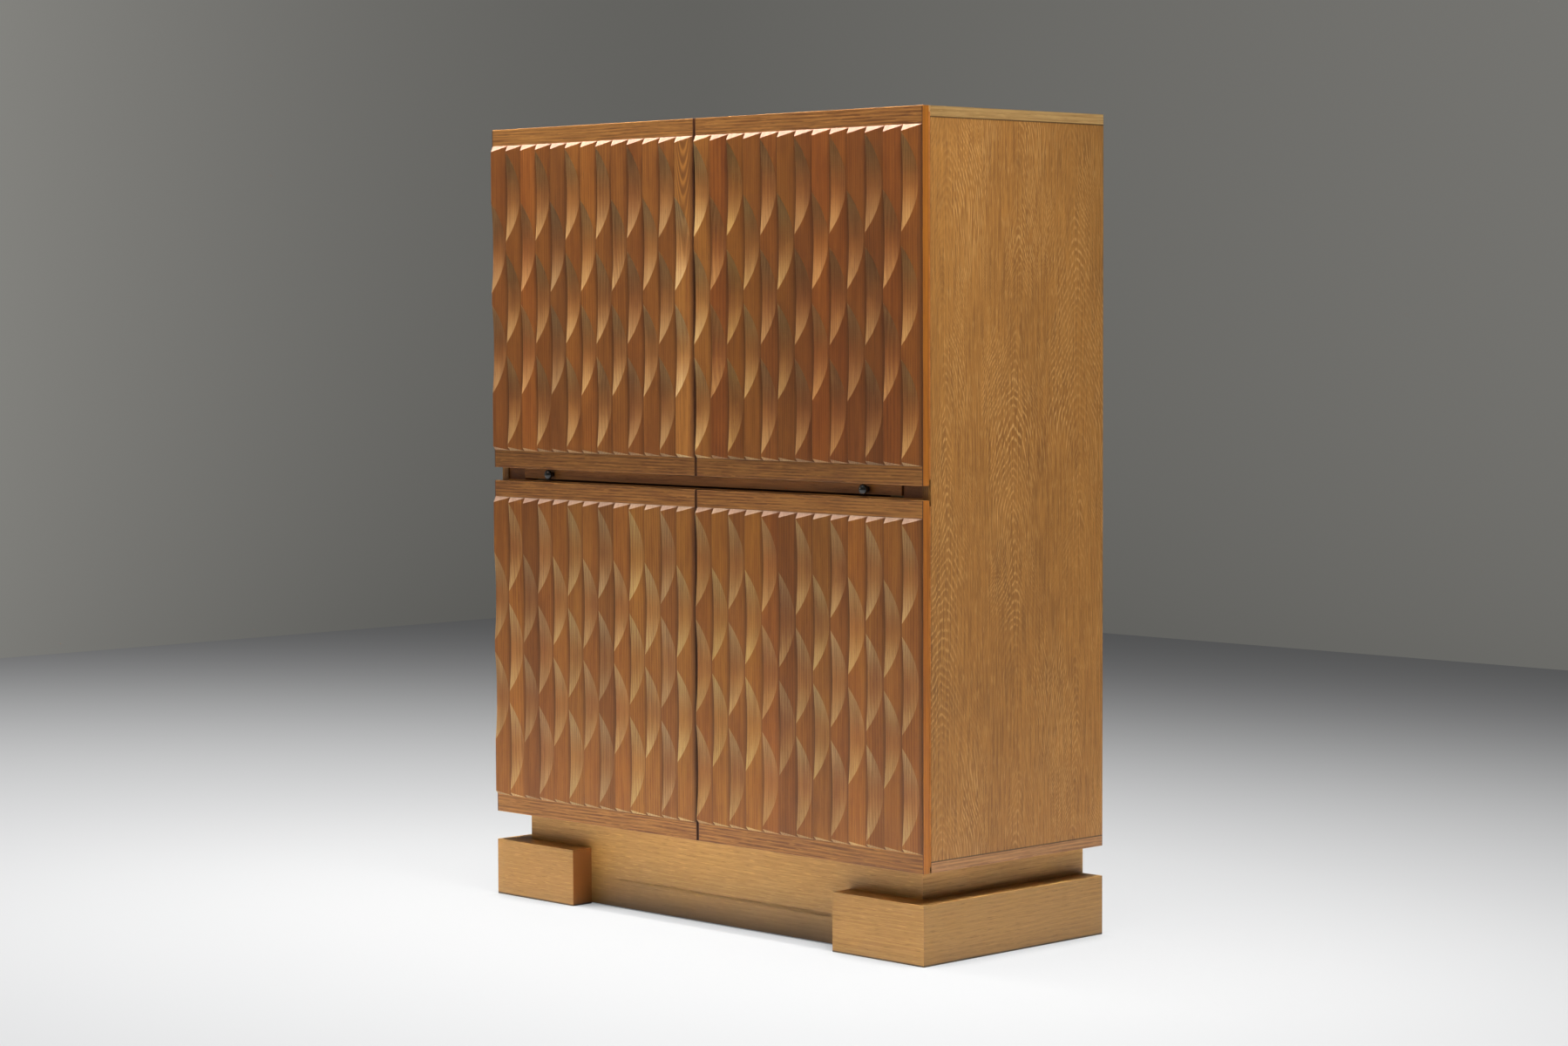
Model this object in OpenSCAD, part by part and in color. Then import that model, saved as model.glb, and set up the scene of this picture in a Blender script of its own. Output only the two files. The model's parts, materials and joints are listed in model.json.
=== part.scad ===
/* [Case] */
// Width over the side panels
case_w = 1100; // [900:1:1400]
// Height from the floor to the top
total_h = 1427; // [1300:1:1600]
// Depth of the case without its doors
case_d = 436; // [360:1:560]
// Thickness of the side panels
side_t = 18; // [16:0.5:24]
// Thickness of the top and bottom boards
board_t = 17; // [15:0.5:24]
// Thickness of the two fixed dividers
divider_t = 18; // [15:0.5:24]
// Thickness of the back panel
back_t = 8; // [5:0.5:12]
// Width of the rebate that takes the back panel
back_rebate_w = 9; // [6:0.5:12]
// Play of the back panel in its rebate
back_play = 0.3; // [0.1:0.1:0.6]

/* [Base] */
// Height of the underside of the case
base_h = 156; // [130:1:200]
// Height of the foot blocks
foot_h = 103; // [70:1:120]
// How far the foot blocks stand out from the plinth
foot_t = 45; // [30:1:60]
// Length of the foot return across the front
foot_return_w = 214; // [120:1:300]
// Thickness of the plinth boards
plinth_t = 20; // [16:1:28]
// Air between the plinth boards and the floor
plinth_lift = 2; // [1:0.5:5]
// Leg length of the triangular blocks in the plinth corners
corner_leg = 60; // [40:1:90]
// Height of the blocks in the plinth corners
corner_h = 90; // [50:1:120]

/* [Doors] */
// Height of the lower doors
lower_door_h = 621; // [560:1:660]
// Gap between the lower and the upper doors
middle_gap = 24.5; // [23:0.5:32]
// Gap between a pair of doors
meeting_gap = 3; // [2:0.5:6]
// Seam between the doors and the case
seam = 2; // [2:0.1:3]
// Thickness of the board behind the staves
core_t = 9.8; // [8:0.1:14]
// Thickness of the rails and of the staves at the rail plane
face_t = 6; // [4:0.5:10]
// Thickness of the edge lippings
lipping_t = 2.2; // [1.5:0.1:4]
// Height of a door's top rail
rail_top_h = 30; // [20:1:50]
// Height of a door's bottom rail
rail_bottom_h = 32; // [20:1:50]

/* [Staves] */
// Number of staves on a door
staves_per_door = 13; // [9:1:17]
// Scoops on every other stave
scoops_full = 3; // [3:1:4]
// Hairline between two staves
stave_gap = 0.3; // [0.2:0.1:0.6]
// Height of a stave's ridge above the rail plane
ridge_h = 5.5; // [4:0.1:9]
// Height of a stave's low edge above the rail plane
low_edge_h = 0.6; // [0.4:0.1:1.5]
// Length of the bevel at a stave's top
bevel_top = 10.5; // [5:0.5:12]
// Length of the bevel at a stave's bottom
bevel_bottom = 6.5; // [4:0.5:12]
// Length of a scoop along the ridge
scoop_len = 165; // [100:1:180]
// Depth of a scoop at the ridge
scoop_depth = 4.2; // [2:0.1:4.5]

/* [Hinges] */
// Radius of the hinge barrel
barrel_r = 1.8; // [1.7:0.1:2]
// Radius of the hinge pin
hinge_pin_r = 1.0; // [0.8:0.05:1.1]
// Running clearance of the pin in the door knuckles
pin_play = 0.05; // [0.02:0.01:0.1]
// Distance of the hinge axis from the side plane
axis_inset = 1.3; // [1.2:0.1:1.4]
// Depth of the rebate round the barrel in door and case
barrel_rebate_d = 1.2; // [1.2:0.1:2]
// Air between the barrel and the hinge plate beside it
barrel_air = 0.3; // [0.2:0.1:0.5]
// Thickness of the hinge plates
hinge_plate_t = 0.8; // [0.6:0.05:0.9]
// Width of a hinge plate
hinge_plate_w = 15; // [12:0.5:16]
// Distance from a door's end to the hinge
hinge_margin = 10; // [4:1:30]
// Number of knuckles on a hinge, an odd number
knuckles = 15; // [9:2:21]
// Air between two knuckles
knuckle_air = 0.4; // [0.3:0.1:0.8]
// Number of screws in a hinge plate
hinge_screws = 5; // [3:1:8]
// Radius of a hinge screw's shank
hinge_screw_r = 1.3; // [1:0.1:1.6]
// Radius of a hinge screw's head
hinge_screw_head_r = 2.6; // [2:0.1:3]
// Length of a hinge screw's shank in the door
door_screw_l = 7.5; // [5:0.5:7.5]
// Length of a hinge screw's shank in the case
case_screw_l = 15; // [10:1:20]

/* [Pull-out leaf] */
// Thickness of the leaf
leaf_t = 17; // [14:0.5:17]
// Width of the filler that guides the leaf at each side
guide_w = 46; // [40:1:70]
// Width of the guide behind its shoulder
guide_rear_w = 34; // [20:1:36]
// How far the guides lie behind the case's front
guide_setback = 3; // [1:0.5:8]
// Air between the leaf and its guides
leaf_side_air = 2; // [1:0.5:3]
// How far the dividers show past the door edges
divider_reveal = 2; // [1:0.5:4]
// Height of the strips that the leaf slides on
runner_h = 3.5; // [2:0.1:4]
// Width of the strips that the leaf slides on
runner_w = 30; // [15:1:50]
// Distance of the strips from the leaf's ends
runner_inset = 14; // [5:1:60]
// Distance of the strips from the case's front
runner_setback = 20; // [5:1:60]
// Running clearance of the leaf above and below
leaf_play = 0.3; // [0.2:0.05:0.5]
// Travel of the leaf
leaf_travel = 250; // [150:1:290]
// Width of the stop at each rear corner of the leaf
stop_w = 11; // [8:0.5:11]
// Length of the stop at each rear corner of the leaf
stop_l = 40; // [25:1:60]
// Air left between the stop and the shoulder at full travel
stop_air = 1; // [0.5:0.5:2]

/* [Knobs] */
// Radius of a knob's head
knob_r = 9; // [7:0.5:9]
// Length of a knob's rim
knob_rim_l = 6; // [4:0.5:7]
// Height of a knob's domed face
knob_dome_h = 3.2; // [2:0.1:4]
// Radius of a knob's neck
knob_neck_r = 4.5; // [3.5:0.5:6]
// Distance of a knob from the leaf's end
knob_from_end = 79; // [40:1:150]
// How far a knob's face lies behind the rail plane
knob_setback = 0.3; // [0:0.1:4]
// Radius of the stud that holds a knob
stud_r = 2; // [1.5:0.25:3]
// Length of the stud in the leaf
stud_l = 24; // [15:1:40]

/* [Inside] */
// Thickness of the loose shelves
shelf_t = 18; // [12:0.5:25]
// Air between a shelf and the side panels
shelf_air = 1; // [0.5:0.5:3]
// How far a shelf lies behind the case's front
shelf_setback = 20; // [10:1:80]
// Height of the lower shelf above the bottom board
lower_shelf_rise = 290; // [180:1:380]
// Height of the upper shelf above the upper divider
upper_shelf_rise = 300; // [180:1:380]
// Radius of a shelf pin
pin_r = 2.5; // [2:0.5:4]
// Length of a shelf pin
pin_l = 16; // [12:1:20]
// Depth of the pin holes in the side panels
pin_hole_d = 9; // [7:0.5:12]
// Distance of the pin holes from the case's front and back panel
pin_inset = 60; // [40:1:120]
// Height between two pin holes
pin_pitch = 64; // [32:1:70]
// Pin holes above and below the one in use
pin_spares = 1; // [0:1:2]

/* [Catches] */
// Width of a magnetic catch
catch_w = 56; // [44:1:70]
// Height of a magnetic catch
catch_h = 14; // [10:1:18]
// Depth of a magnetic catch
catch_d = 16; // [10:1:24]
// Width of the strike plate on a door
strike_w = 20; // [14:1:22]
// Height of the strike plate on a door
strike_h = 12; // [8:1:14]
// Thickness of the strike plate on a door
strike_t = 1.6; // [1:0.1:1.7]

/* [Screws] */
// Radius of a wood screw's shank
screw_r = 2; // [1.5:0.25:3]
// Radius of a wood screw's head
screw_head_r = 4; // [3.5:0.25:4.5]
// Height of a wood screw's head
screw_head_h = 2; // [1.5:0.25:3]
// Screws up each side of the back panel
back_screws_up = 6; // [3:1:9]
// Screws across the top and the bottom of the back panel
back_screws_across = 4; // [2:1:8]
// Length of a back screw's shank
back_screw_l = 20; // [14:1:30]
// Screws in each side foot
foot_screw_count = 3; // [2:1:5]
// Length of a foot screw in the foot block
foot_screw_bite = 25; // [15:1:28]
// Distance of the return's screws from its end and from the corner block
return_screw_inset = 20; // [12:1:25]

/* [Hidden] */

oak = [0.72, 0.50, 0.27];
oak_light = [0.78, 0.58, 0.34];
oak_brown = [0.55, 0.36, 0.20];
stave_brown = [0.52, 0.31, 0.18];
edge_orange = [0.70, 0.40, 0.14];
ply = [0.68, 0.50, 0.32];
steel = [0.62, 0.62, 0.60];
bronze = [0.25, 0.17, 0.11];
black = [0.06, 0.06, 0.06];

// How far a cut reaches past the surface that it opens, and how far two joined solids overlap
eps = 1;
$fn = 48;
// The long flat scoops need many more sides than a small round piece
scoop_fn = 720;

// Planes across the depth, with the middle of the whole cabinet at zero
door_t = core_t + face_t;
depth = case_d + seam + door_t + ridge_h;
y_ridge = -depth / 2;
y_rail = y_ridge + ridge_h;
y_core = y_rail + face_t;
y_door_back = y_core + core_t;
y_case = y_door_back + seam;
y_back = depth / 2;
y_inner_back = y_back - back_t;

// Planes across the width
half_w = case_w / 2;
x_inner = half_w - side_t;
half_leaf = x_inner - guide_w - leaf_side_air;

// Planes up the height
z_floor_top = base_h + board_t;
z_lower_top = base_h + lower_door_h;
z_upper_bottom = z_lower_top + middle_gap;
z_bay = z_lower_top + divider_reveal;
z_bay_top = z_upper_bottom + divider_reveal;
z_leaf = z_bay + runner_h + leaf_play;
z_leaf_top = z_leaf + leaf_t;
z_ceiling = total_h - board_t;
z_lower_ceiling = z_bay - divider_t;
z_upper_floor = z_bay_top + divider_t;

// Doors, staves and their scoops
door_w = (case_w - meeting_gap) / 2;
field_w = door_w - 2 * lipping_t;
stave_pitch = field_w / staves_per_door;
stave_w = stave_pitch - stave_gap;
scoop_r = (scoop_len * scoop_len / 4 + scoop_depth * scoop_depth) / (2 * scoop_depth);

// Hinge line, seen from above, at half the seam
x_axis = half_w - axis_inset;
y_axis = y_case - seam / 2;
rebate_w = axis_inset + barrel_r + barrel_air;
screw_from_axis = (hinge_plate_w + barrel_r) / 2;

// The leaf and its stops
leaf_d = case_d - back_t - leaf_play;
y_leaf_end = y_case + leaf_d;
y_shoulder = y_leaf_end - stop_l - leaf_travel - stop_air;
z_knob = z_leaf + leaf_t / 2;
x_knob = half_leaf - knob_from_end;
y_knob_face = y_rail + knob_setback;
knob_head_l = knob_rim_l + knob_dome_h;
knob_neck_l = y_case - y_knob_face - knob_head_l;
dome_r = (knob_r * knob_r + knob_dome_h * knob_dome_h) / (2 * knob_dome_h);

// Shelves and their pins
z_lower_shelf = z_floor_top + lower_shelf_rise;
z_upper_shelf = z_upper_floor + upper_shelf_rise;
pin_rows_y = [y_case + pin_inset, y_inner_back - pin_inset];

// The base, and the screws that hold its pieces
x_plinth = half_w - foot_t;
y_plinth = y_rail + foot_t;
back_screw_inset = back_rebate_w / 2;
foot_screw_l = plinth_t + foot_screw_bite - screw_head_h;

// A box between two corners
module block(low, high) {
  translate(low)
    cube(high - low);
}

// A countersunk screw at a point: its head faces the front and its shank runs back
module screw_back(at, head_r, head_h, r, l) {
  translate(at)
    rotate([-90, 0, 0]) {
      cylinder(r1 = head_r, r2 = r, h = head_h);
      cylinder(r = r, h = head_h + l);
    }
}

// The same screw with its head at the back
module screw_forward(at, head_r, head_h, r, l) {
  translate(at)
    rotate([90, 0, 0]) {
      cylinder(r1 = head_r, r2 = r, h = head_h);
      cylinder(r = r, h = head_h + l);
    }
}

// Both halves of something that is drawn on the right
module both_sides() {
  children();
  mirror([1, 0, 0])
    children();
}

// Screws of the back panel, in its two sides and in its top and bottom edges
module back_screw_set() {
  for (i = [0:back_screws_up - 1])
    both_sides()
      screw_forward([x_inner + back_screw_inset, y_back,
                     z_floor_top + (z_ceiling - z_floor_top) * (i + 0.5) / back_screws_up],
                    screw_head_r, screw_head_h, screw_r, back_screw_l);
  for (i = [0:back_screws_across - 1])
    for (z = [z_floor_top - back_screw_inset, z_ceiling + back_screw_inset])
      screw_forward([x_inner * (2 * i + 1 - back_screws_across) / back_screws_across, y_back, z],
                    screw_head_r, screw_head_h, screw_r, back_screw_l);
}

// Bottom and top of an upper or a lower door
function door_z0(upper) = upper ? z_upper_bottom : base_h;
function door_z1(upper) = upper ? total_h : z_lower_top;

// Bottom and length of its hinge, and the heights of the hinge's screws
function hinge_z0(upper) = door_z0(upper) + hinge_margin;
function hinge_l(upper) = door_z1(upper) - door_z0(upper) - 2 * hinge_margin;
function hinge_screw_z(upper) =
  [for (i = [0:hinge_screws - 1]) hinge_z0(upper) + hinge_l(upper) * (i + 0.5) / hinge_screws];

// Screws of a right hinge, into the side panel's front edge
module case_hinge_screws(upper) {
  for (z = hinge_screw_z(upper))
    screw_back([x_axis - screw_from_axis, y_case - hinge_plate_t, z],
               hinge_screw_head_r, hinge_plate_t, hinge_screw_r, case_screw_l);
}

// Screws of a right hinge, into the door's back
module door_hinge_screws(upper) {
  for (z = hinge_screw_z(upper))
    screw_forward([x_axis - screw_from_axis, y_door_back + hinge_plate_t, z],
                  hinge_screw_head_r, hinge_plate_t, hinge_screw_r, door_screw_l);
}

// The step beside the hinge barrels, along the case's right front corner
module barrel_step_case() {
  block([half_w - rebate_w, y_case - eps, base_h - eps],
        [half_w + eps, y_case + barrel_rebate_d, total_h + eps]);
}

// Holes for the pins of a shelf, in the right side panel's inner face
module pin_holes(z_shelf) {
  for (y = pin_rows_y, i = [-pin_spares:pin_spares])
    translate([x_inner - eps, y, z_shelf - pin_r + i * pin_pitch])
      rotate([0, 90, 0])
        cylinder(r = pin_r, h = pin_hole_d + eps);
}

module side_panel() {
  color(oak)
    difference() {
      block([x_inner, y_case, z_floor_top], [half_w, y_back, z_ceiling]);
      block([x_inner - eps, y_inner_back, base_h], [x_inner + back_rebate_w, y_back + eps, total_h]);
      barrel_step_case();
      pin_holes(z_lower_shelf);
      pin_holes(z_upper_shelf);
      case_hinge_screws(true);
      case_hinge_screws(false);
      back_screw_set();
    }
}

module side_left() {
  mirror([1, 0, 0])
    side_panel();
}

module side_right() {
  side_panel();
}

// A board across the whole case, with a stopped rebate for the back panel
module cross_board(z, rebate_z) {
  color(oak)
    difference() {
      block([-half_w, y_case, z], [half_w, y_back, z + board_t]);
      block([-x_inner - back_rebate_w, y_inner_back, rebate_z],
            [x_inner + back_rebate_w, y_back + eps, rebate_z + back_rebate_w + eps]);
      both_sides()
        barrel_step_case();
      back_screw_set();
    }
}

module top_board() {
  cross_board(z_ceiling, z_ceiling - eps);
}

module bottom_board() {
  cross_board(base_h, z_floor_top - back_rebate_w);
}

module back_panel() {
  reach = back_rebate_w - back_play;
  color(ply)
    difference() {
      block([-x_inner - reach, y_inner_back, z_floor_top - reach],
            [x_inner + reach, y_back, z_ceiling + reach]);
      back_screw_set();
    }
}

module back_screws() {
  color(steel)
    back_screw_set();
}

module divider_upper() {
  color(oak_brown)
    block([-x_inner, y_case, z_bay_top], [x_inner, y_inner_back, z_upper_floor]);
}

module divider_lower() {
  color(oak_brown)
    block([-x_inner, y_case, z_lower_ceiling], [x_inner, y_inner_back, z_bay]);
}

// The filler beside the leaf: its wide front part is the shoulder that stops the leaf
module leaf_guide() {
  color(oak_brown)
    union() {
      block([x_inner - guide_w, y_case + guide_setback, z_bay], [x_inner, y_shoulder, z_bay_top]);
      block([x_inner - guide_rear_w, y_shoulder - eps, z_bay], [x_inner, y_inner_back, z_bay_top]);
    }
}

module leaf_guide_left() {
  mirror([1, 0, 0])
    leaf_guide();
}

module leaf_guide_right() {
  leaf_guide();
}

// Strips below and above the leaf at both ends
module leaf_runners() {
  x_out = half_leaf - runner_inset;
  y_front = y_case + runner_setback;
  color(oak_light)
    both_sides() {
      block([x_out - runner_w, y_front, z_bay], [x_out, y_inner_back, z_bay + runner_h]);
      block([x_out - runner_w, y_front, z_leaf_top + leaf_play], [x_out, y_inner_back, z_bay_top]);
    }
}

module shelf(z) {
  color(oak)
    block([-x_inner + shelf_air, y_case + shelf_setback, z],
          [x_inner - shelf_air, y_inner_back - shelf_air, z + shelf_t]);
}

module shelf_upper() {
  shelf(z_upper_shelf);
}

module shelf_lower() {
  shelf(z_lower_shelf);
}

module shelf_pins() {
  color(steel)
    for (z = [z_lower_shelf, z_upper_shelf], y = pin_rows_y)
      both_sides()
        translate([x_inner + pin_hole_d - pin_l, y, z - pin_r])
          rotate([0, 90, 0])
            cylinder(r = pin_r, h = pin_l);
}

// One catch under the top board and one under the lower divider
module magnetic_catches() {
  color(black)
    for (z = [z_lower_ceiling, z_ceiling])
      block([-catch_w / 2, y_case, z - catch_h], [catch_w / 2, y_case + catch_d, z]);
}

// The base

module plinth_front() {
  color(oak_light)
    difference() {
      block([-x_plinth, y_plinth, plinth_lift], [x_plinth, y_plinth + plinth_t, base_h]);
      both_sides()
        foot_screws_front();
    }
}

module plinth_back() {
  color(oak_light)
    block([-x_plinth, y_back - plinth_t, plinth_lift], [x_plinth, y_back, base_h]);
}

// The plinth's side board, with the pilot holes of the foot screws
module plinth_side() {
  color(oak_light)
    difference() {
      block([x_plinth - plinth_t, y_plinth + plinth_t, plinth_lift], [x_plinth, y_back - plinth_t, base_h]);
      foot_screws_side();
    }
}

module plinth_left() {
  mirror([1, 0, 0])
    plinth_side();
}

module plinth_right() {
  plinth_side();
}

// A three-cornered block in each corner of the plinth
module corner_blocks() {
  x_in = x_plinth - plinth_t;
  y_front = y_plinth + plinth_t;
  y_rear = y_back - plinth_t;
  color(ply)
    translate([0, 0, base_h - corner_h])
      linear_extrude(corner_h)
        both_sides() {
          polygon([[x_in, y_front], [x_in - corner_leg, y_front], [x_in, y_front + corner_leg]]);
          polygon([[x_in, y_rear], [x_in - corner_leg, y_rear], [x_in, y_rear - corner_leg]]);
        }
}

// The foot along the side, mitred at its front corner
module foot_side() {
  color(oak_light)
    difference() {
      linear_extrude(foot_h)
        polygon([[half_w, y_rail], [half_w, y_back], [x_plinth, y_back], [x_plinth, y_plinth]]);
      foot_screws_side();
    }
}

module foot_side_left() {
  mirror([1, 0, 0])
    foot_side();
}

module foot_side_right() {
  foot_side();
}

// The short return of the foot across the front
module foot_front() {
  x_end = half_w - foot_return_w;
  color(oak_light)
    difference() {
      linear_extrude(foot_h)
        polygon([[half_w, y_rail], [x_plinth, y_plinth], [x_end, y_plinth], [x_end, y_rail]]);
      foot_screws_front();
    }
}

module foot_front_left() {
  mirror([1, 0, 0])
    foot_front();
}

module foot_front_right() {
  foot_front();
}

// Screws from inside the plinth into the side foot
module foot_screws_side() {
  y_first = y_plinth + plinth_t + corner_leg;
  y_last = y_back - plinth_t - corner_leg;
  for (i = [0:foot_screw_count - 1])
    translate([x_plinth - plinth_t, y_first + (y_last - y_first) * i / (foot_screw_count - 1), foot_h / 2])
      rotate([0, 90, 0]) {
        cylinder(r1 = screw_head_r, r2 = screw_r, h = screw_head_h);
        cylinder(r = screw_r, h = screw_head_h + foot_screw_l);
      }
}

// Screws from behind the plinth's front board into the front return
module foot_screws_front() {
  x_outer = x_plinth - plinth_t - corner_leg - return_screw_inset;
  for (x = [half_w - foot_return_w + return_screw_inset, x_outer])
    screw_forward([x, y_plinth + plinth_t, foot_h / 2], screw_head_r, screw_head_h, screw_r, foot_screw_l);
}

module foot_screws() {
  color(steel)
    both_sides() {
      foot_screws_side();
      foot_screws_front();
    }
}

// The hinges: each is drawn on the right and mirrored for the left doors

// Height where a knuckle starts, for one of the hinge's equal stretches
function knuckle_z(upper, i) = hinge_z0(upper) + hinge_l(upper) * i / knuckles;

// Half a hinge, a plate with every other knuckle, less the screws that are given to it.
// Even knuckles belong to the case and grip the pin, odd ones belong to the door and turn on it.
module hinge_half(upper, first, face_y, bore_r) {
  knuckle_l = hinge_l(upper) / knuckles - knuckle_air;
  difference() {
    union() {
      block([x_axis - hinge_plate_w, face_y, hinge_z0(upper)],
            [x_axis - barrel_r - barrel_air, face_y + hinge_plate_t, hinge_z0(upper) + hinge_l(upper)]);
      for (i = [first:2:knuckles - 1])
        translate([0, 0, knuckle_z(upper, i) + knuckle_air / 2]) {
          translate([x_axis, y_axis, 0])
            cylinder(r = barrel_r, h = knuckle_l);
          block([x_axis - barrel_r - barrel_air - eps, face_y, 0],
                [x_axis - (barrel_r + bore_r) / 2, face_y + hinge_plate_t, knuckle_l]);
        }
    }
    translate([x_axis, y_axis, hinge_z0(upper) - eps])
      cylinder(r = bore_r, h = hinge_l(upper) + 2 * eps);
    children();
  }
}

module hinge_plates_case() {
  color(bronze)
    for (upper = [true, false])
      both_sides()
        hinge_half(upper, 0, y_case - hinge_plate_t, hinge_pin_r)
          case_hinge_screws(upper);
}

module hinge_pins() {
  color(bronze)
    for (upper = [true, false])
      both_sides()
        translate([x_axis, y_axis, hinge_z0(upper)])
          cylinder(r = hinge_pin_r, h = hinge_l(upper));
}

module hinge_screws_case() {
  color(bronze)
    for (upper = [true, false])
      both_sides()
        case_hinge_screws(upper);
}

// The doors: the right door of a pair is drawn, and its frame is mirrored for the left one

module door_hand(left) {
  mirror([left ? 1 : 0, 0, 0])
    children();
}

// The step beside the hinge barrel, in the door's back
module barrel_step_door() {
  block([half_w - rebate_w, y_door_back - barrel_rebate_d, base_h - eps],
        [half_w + eps, y_door_back + eps, total_h + eps]);
}

module door_core(upper) {
  color(ply)
    difference() {
      block([meeting_gap / 2 + lipping_t, y_core, door_z0(upper)],
            [half_w - lipping_t, y_door_back, door_z1(upper)]);
      barrel_step_door();
      door_hinge_screws(upper);
    }
}

module door_rails(upper) {
  x_low = meeting_gap / 2 + lipping_t;
  x_high = half_w - lipping_t;
  color(oak_brown) {
    block([x_low, y_rail, door_z1(upper) - rail_top_h], [x_high, y_core, door_z1(upper)]);
    block([x_low, y_rail, door_z0(upper)], [x_high, y_core, door_z0(upper) + rail_bottom_h]);
  }
}

module door_lippings(upper) {
  color(edge_orange) {
    difference() {
      block([half_w - lipping_t, y_rail, door_z0(upper)], [half_w, y_door_back, door_z1(upper)]);
      barrel_step_door();
    }
    block([meeting_gap / 2, y_rail, door_z0(upper)],
          [meeting_gap / 2 + lipping_t, y_door_back, door_z1(upper)]);
  }
}

// One stave: a saw-tooth section with both ends bevelled
module plain_stave(l) {
  top_y = -face_t - ridge_h;
  intersection() {
    linear_extrude(l)
      polygon([[0, 0], [stave_w, 0], [stave_w, -face_t - low_edge_h], [0, top_y]]);
    rotate([90, 0, 90])
      linear_extrude(stave_w)
        polygon([[0, 0], [-face_t, 0], [top_y, bevel_bottom],
                 [top_y, l - bevel_top], [-face_t, l], [0, l]]);
  }
}

// A stave with hollow scoops cut across its ridge, evenly spaced
module scooped_stave(l, scoops) {
  places = scoops == scoops_full ? [0:scoops - 1] : [0.5:1:scoops - 0.5];
  difference() {
    plain_stave(l);
    for (i = places)
      translate([-eps, scoop_depth - face_t - ridge_h - scoop_r, l * (i + 0.5) / scoops_full])
        rotate([0, 90, 0])
          cylinder(r = scoop_r, h = stave_w + 2 * eps, $fn = scoop_fn);
  }
}

// Every other stave has the full set of scoops, and the rest have one fewer, half a step along.
// The pattern runs on across both doors of a pair, and its ridges are at the left on all of them.
module door_staves(upper, left) {
  x_start = (left ? -half_w : meeting_gap / 2) + lipping_t;
  first = left ? 1 : 1 + staves_per_door;
  z_start = door_z0(upper) + rail_bottom_h;
  stave_l = door_z1(upper) - rail_top_h - z_start;
  color(stave_brown)
    for (i = [0:staves_per_door - 1])
      translate([x_start + i * stave_pitch, y_core, z_start])
        scooped_stave(stave_l, (first + i) % 2 == 0 ? scoops_full : scoops_full - 1);
}

module door_hinge_plate(upper) {
  color(bronze)
    hinge_half(upper, 1, y_door_back, hinge_pin_r + pin_play)
      door_hinge_screws(upper);
}

module door_screws(upper) {
  color(bronze)
    door_hinge_screws(upper);
}

// The steel plate that meets the magnetic catch
module door_strike(upper) {
  z_mid = (upper ? z_ceiling : z_lower_ceiling) - catch_h / 2;
  x_mid = catch_w / 4;
  color(steel)
    block([x_mid - strike_w / 2, y_door_back, z_mid - strike_h / 2],
          [x_mid + strike_w / 2, y_door_back + strike_t, z_mid + strike_h / 2]);
}

// The pull-out leaf

module leaf_board() {
  color(oak_brown)
    difference() {
      block([-half_leaf, y_case, z_leaf], [half_leaf, y_leaf_end, z_leaf_top]);
      both_sides()
        knob_stud();
    }
}

module leaf_stops() {
  color(oak_light)
    both_sides()
      block([half_leaf, y_leaf_end - stop_l, z_leaf], [half_leaf + stop_w, y_leaf_end, z_leaf_top]);
}

// The stud that joins a knob and the leaf
module knob_stud() {
  translate([x_knob, y_case - knob_neck_l - knob_rim_l / 2, z_knob])
    rotate([-90, 0, 0])
      cylinder(r = stud_r, h = knob_rim_l / 2 + knob_neck_l + stud_l);
}

// A domed head on a round neck
module knob() {
  difference() {
    translate([x_knob, y_case, z_knob])
      rotate([90, 0, 0])
        union() {
          cylinder(r = knob_neck_r, h = knob_neck_l + eps);
          translate([0, 0, knob_neck_l])
            intersection() {
              cylinder(r = knob_r, h = knob_head_l);
              translate([0, 0, knob_head_l - dome_r])
                sphere(r = dome_r);
            }
        }
    knob_stud();
  }
}

module leaf_knobs() {
  color(black)
    both_sides()
      knob();
}

module knob_studs() {
  color(steel)
    both_sides()
      knob_stud();
}

// What is drawn
side_left();
side_right();
top_board();
bottom_board();
back_panel();
divider_upper();
divider_lower();
leaf_guide_left();
leaf_guide_right();
leaf_runners();
shelf_upper();
shelf_lower();
shelf_pins();
magnetic_catches();
plinth_front();
plinth_back();
plinth_left();
plinth_right();
corner_blocks();
foot_side_left();
foot_side_right();
foot_front_left();
foot_front_right();
hinge_plates_case();
hinge_pins();
hinge_screws_case();
back_screws();
foot_screws();
leaf_board();
leaf_stops();
leaf_knobs();
knob_studs();
door_hand(true) door_core(true);  // door_upper_left_core
door_hand(true) door_rails(true);  // door_upper_left_rails
door_staves(true, true);  // door_upper_left_staves
door_hand(true) door_lippings(true);  // door_upper_left_lippings
door_hand(true) door_hinge_plate(true);  // door_upper_left_hinge_plate
door_hand(true) door_screws(true);  // door_upper_left_hinge_screws
door_hand(true) door_strike(true);  // door_upper_left_strike
door_hand(false) door_core(true);  // door_upper_right_core
door_hand(false) door_rails(true);  // door_upper_right_rails
door_staves(true, false);  // door_upper_right_staves
door_hand(false) door_lippings(true);  // door_upper_right_lippings
door_hand(false) door_hinge_plate(true);  // door_upper_right_hinge_plate
door_hand(false) door_screws(true);  // door_upper_right_hinge_screws
door_hand(false) door_strike(true);  // door_upper_right_strike
door_hand(true) door_core(false);  // door_lower_left_core
door_hand(true) door_rails(false);  // door_lower_left_rails
door_staves(false, true);  // door_lower_left_staves
door_hand(true) door_lippings(false);  // door_lower_left_lippings
door_hand(true) door_hinge_plate(false);  // door_lower_left_hinge_plate
door_hand(true) door_screws(false);  // door_lower_left_hinge_screws
door_hand(true) door_strike(false);  // door_lower_left_strike
door_hand(false) door_core(false);  // door_lower_right_core
door_hand(false) door_rails(false);  // door_lower_right_rails
door_staves(false, false);  // door_lower_right_staves
door_hand(false) door_lippings(false);  // door_lower_right_lippings
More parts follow.
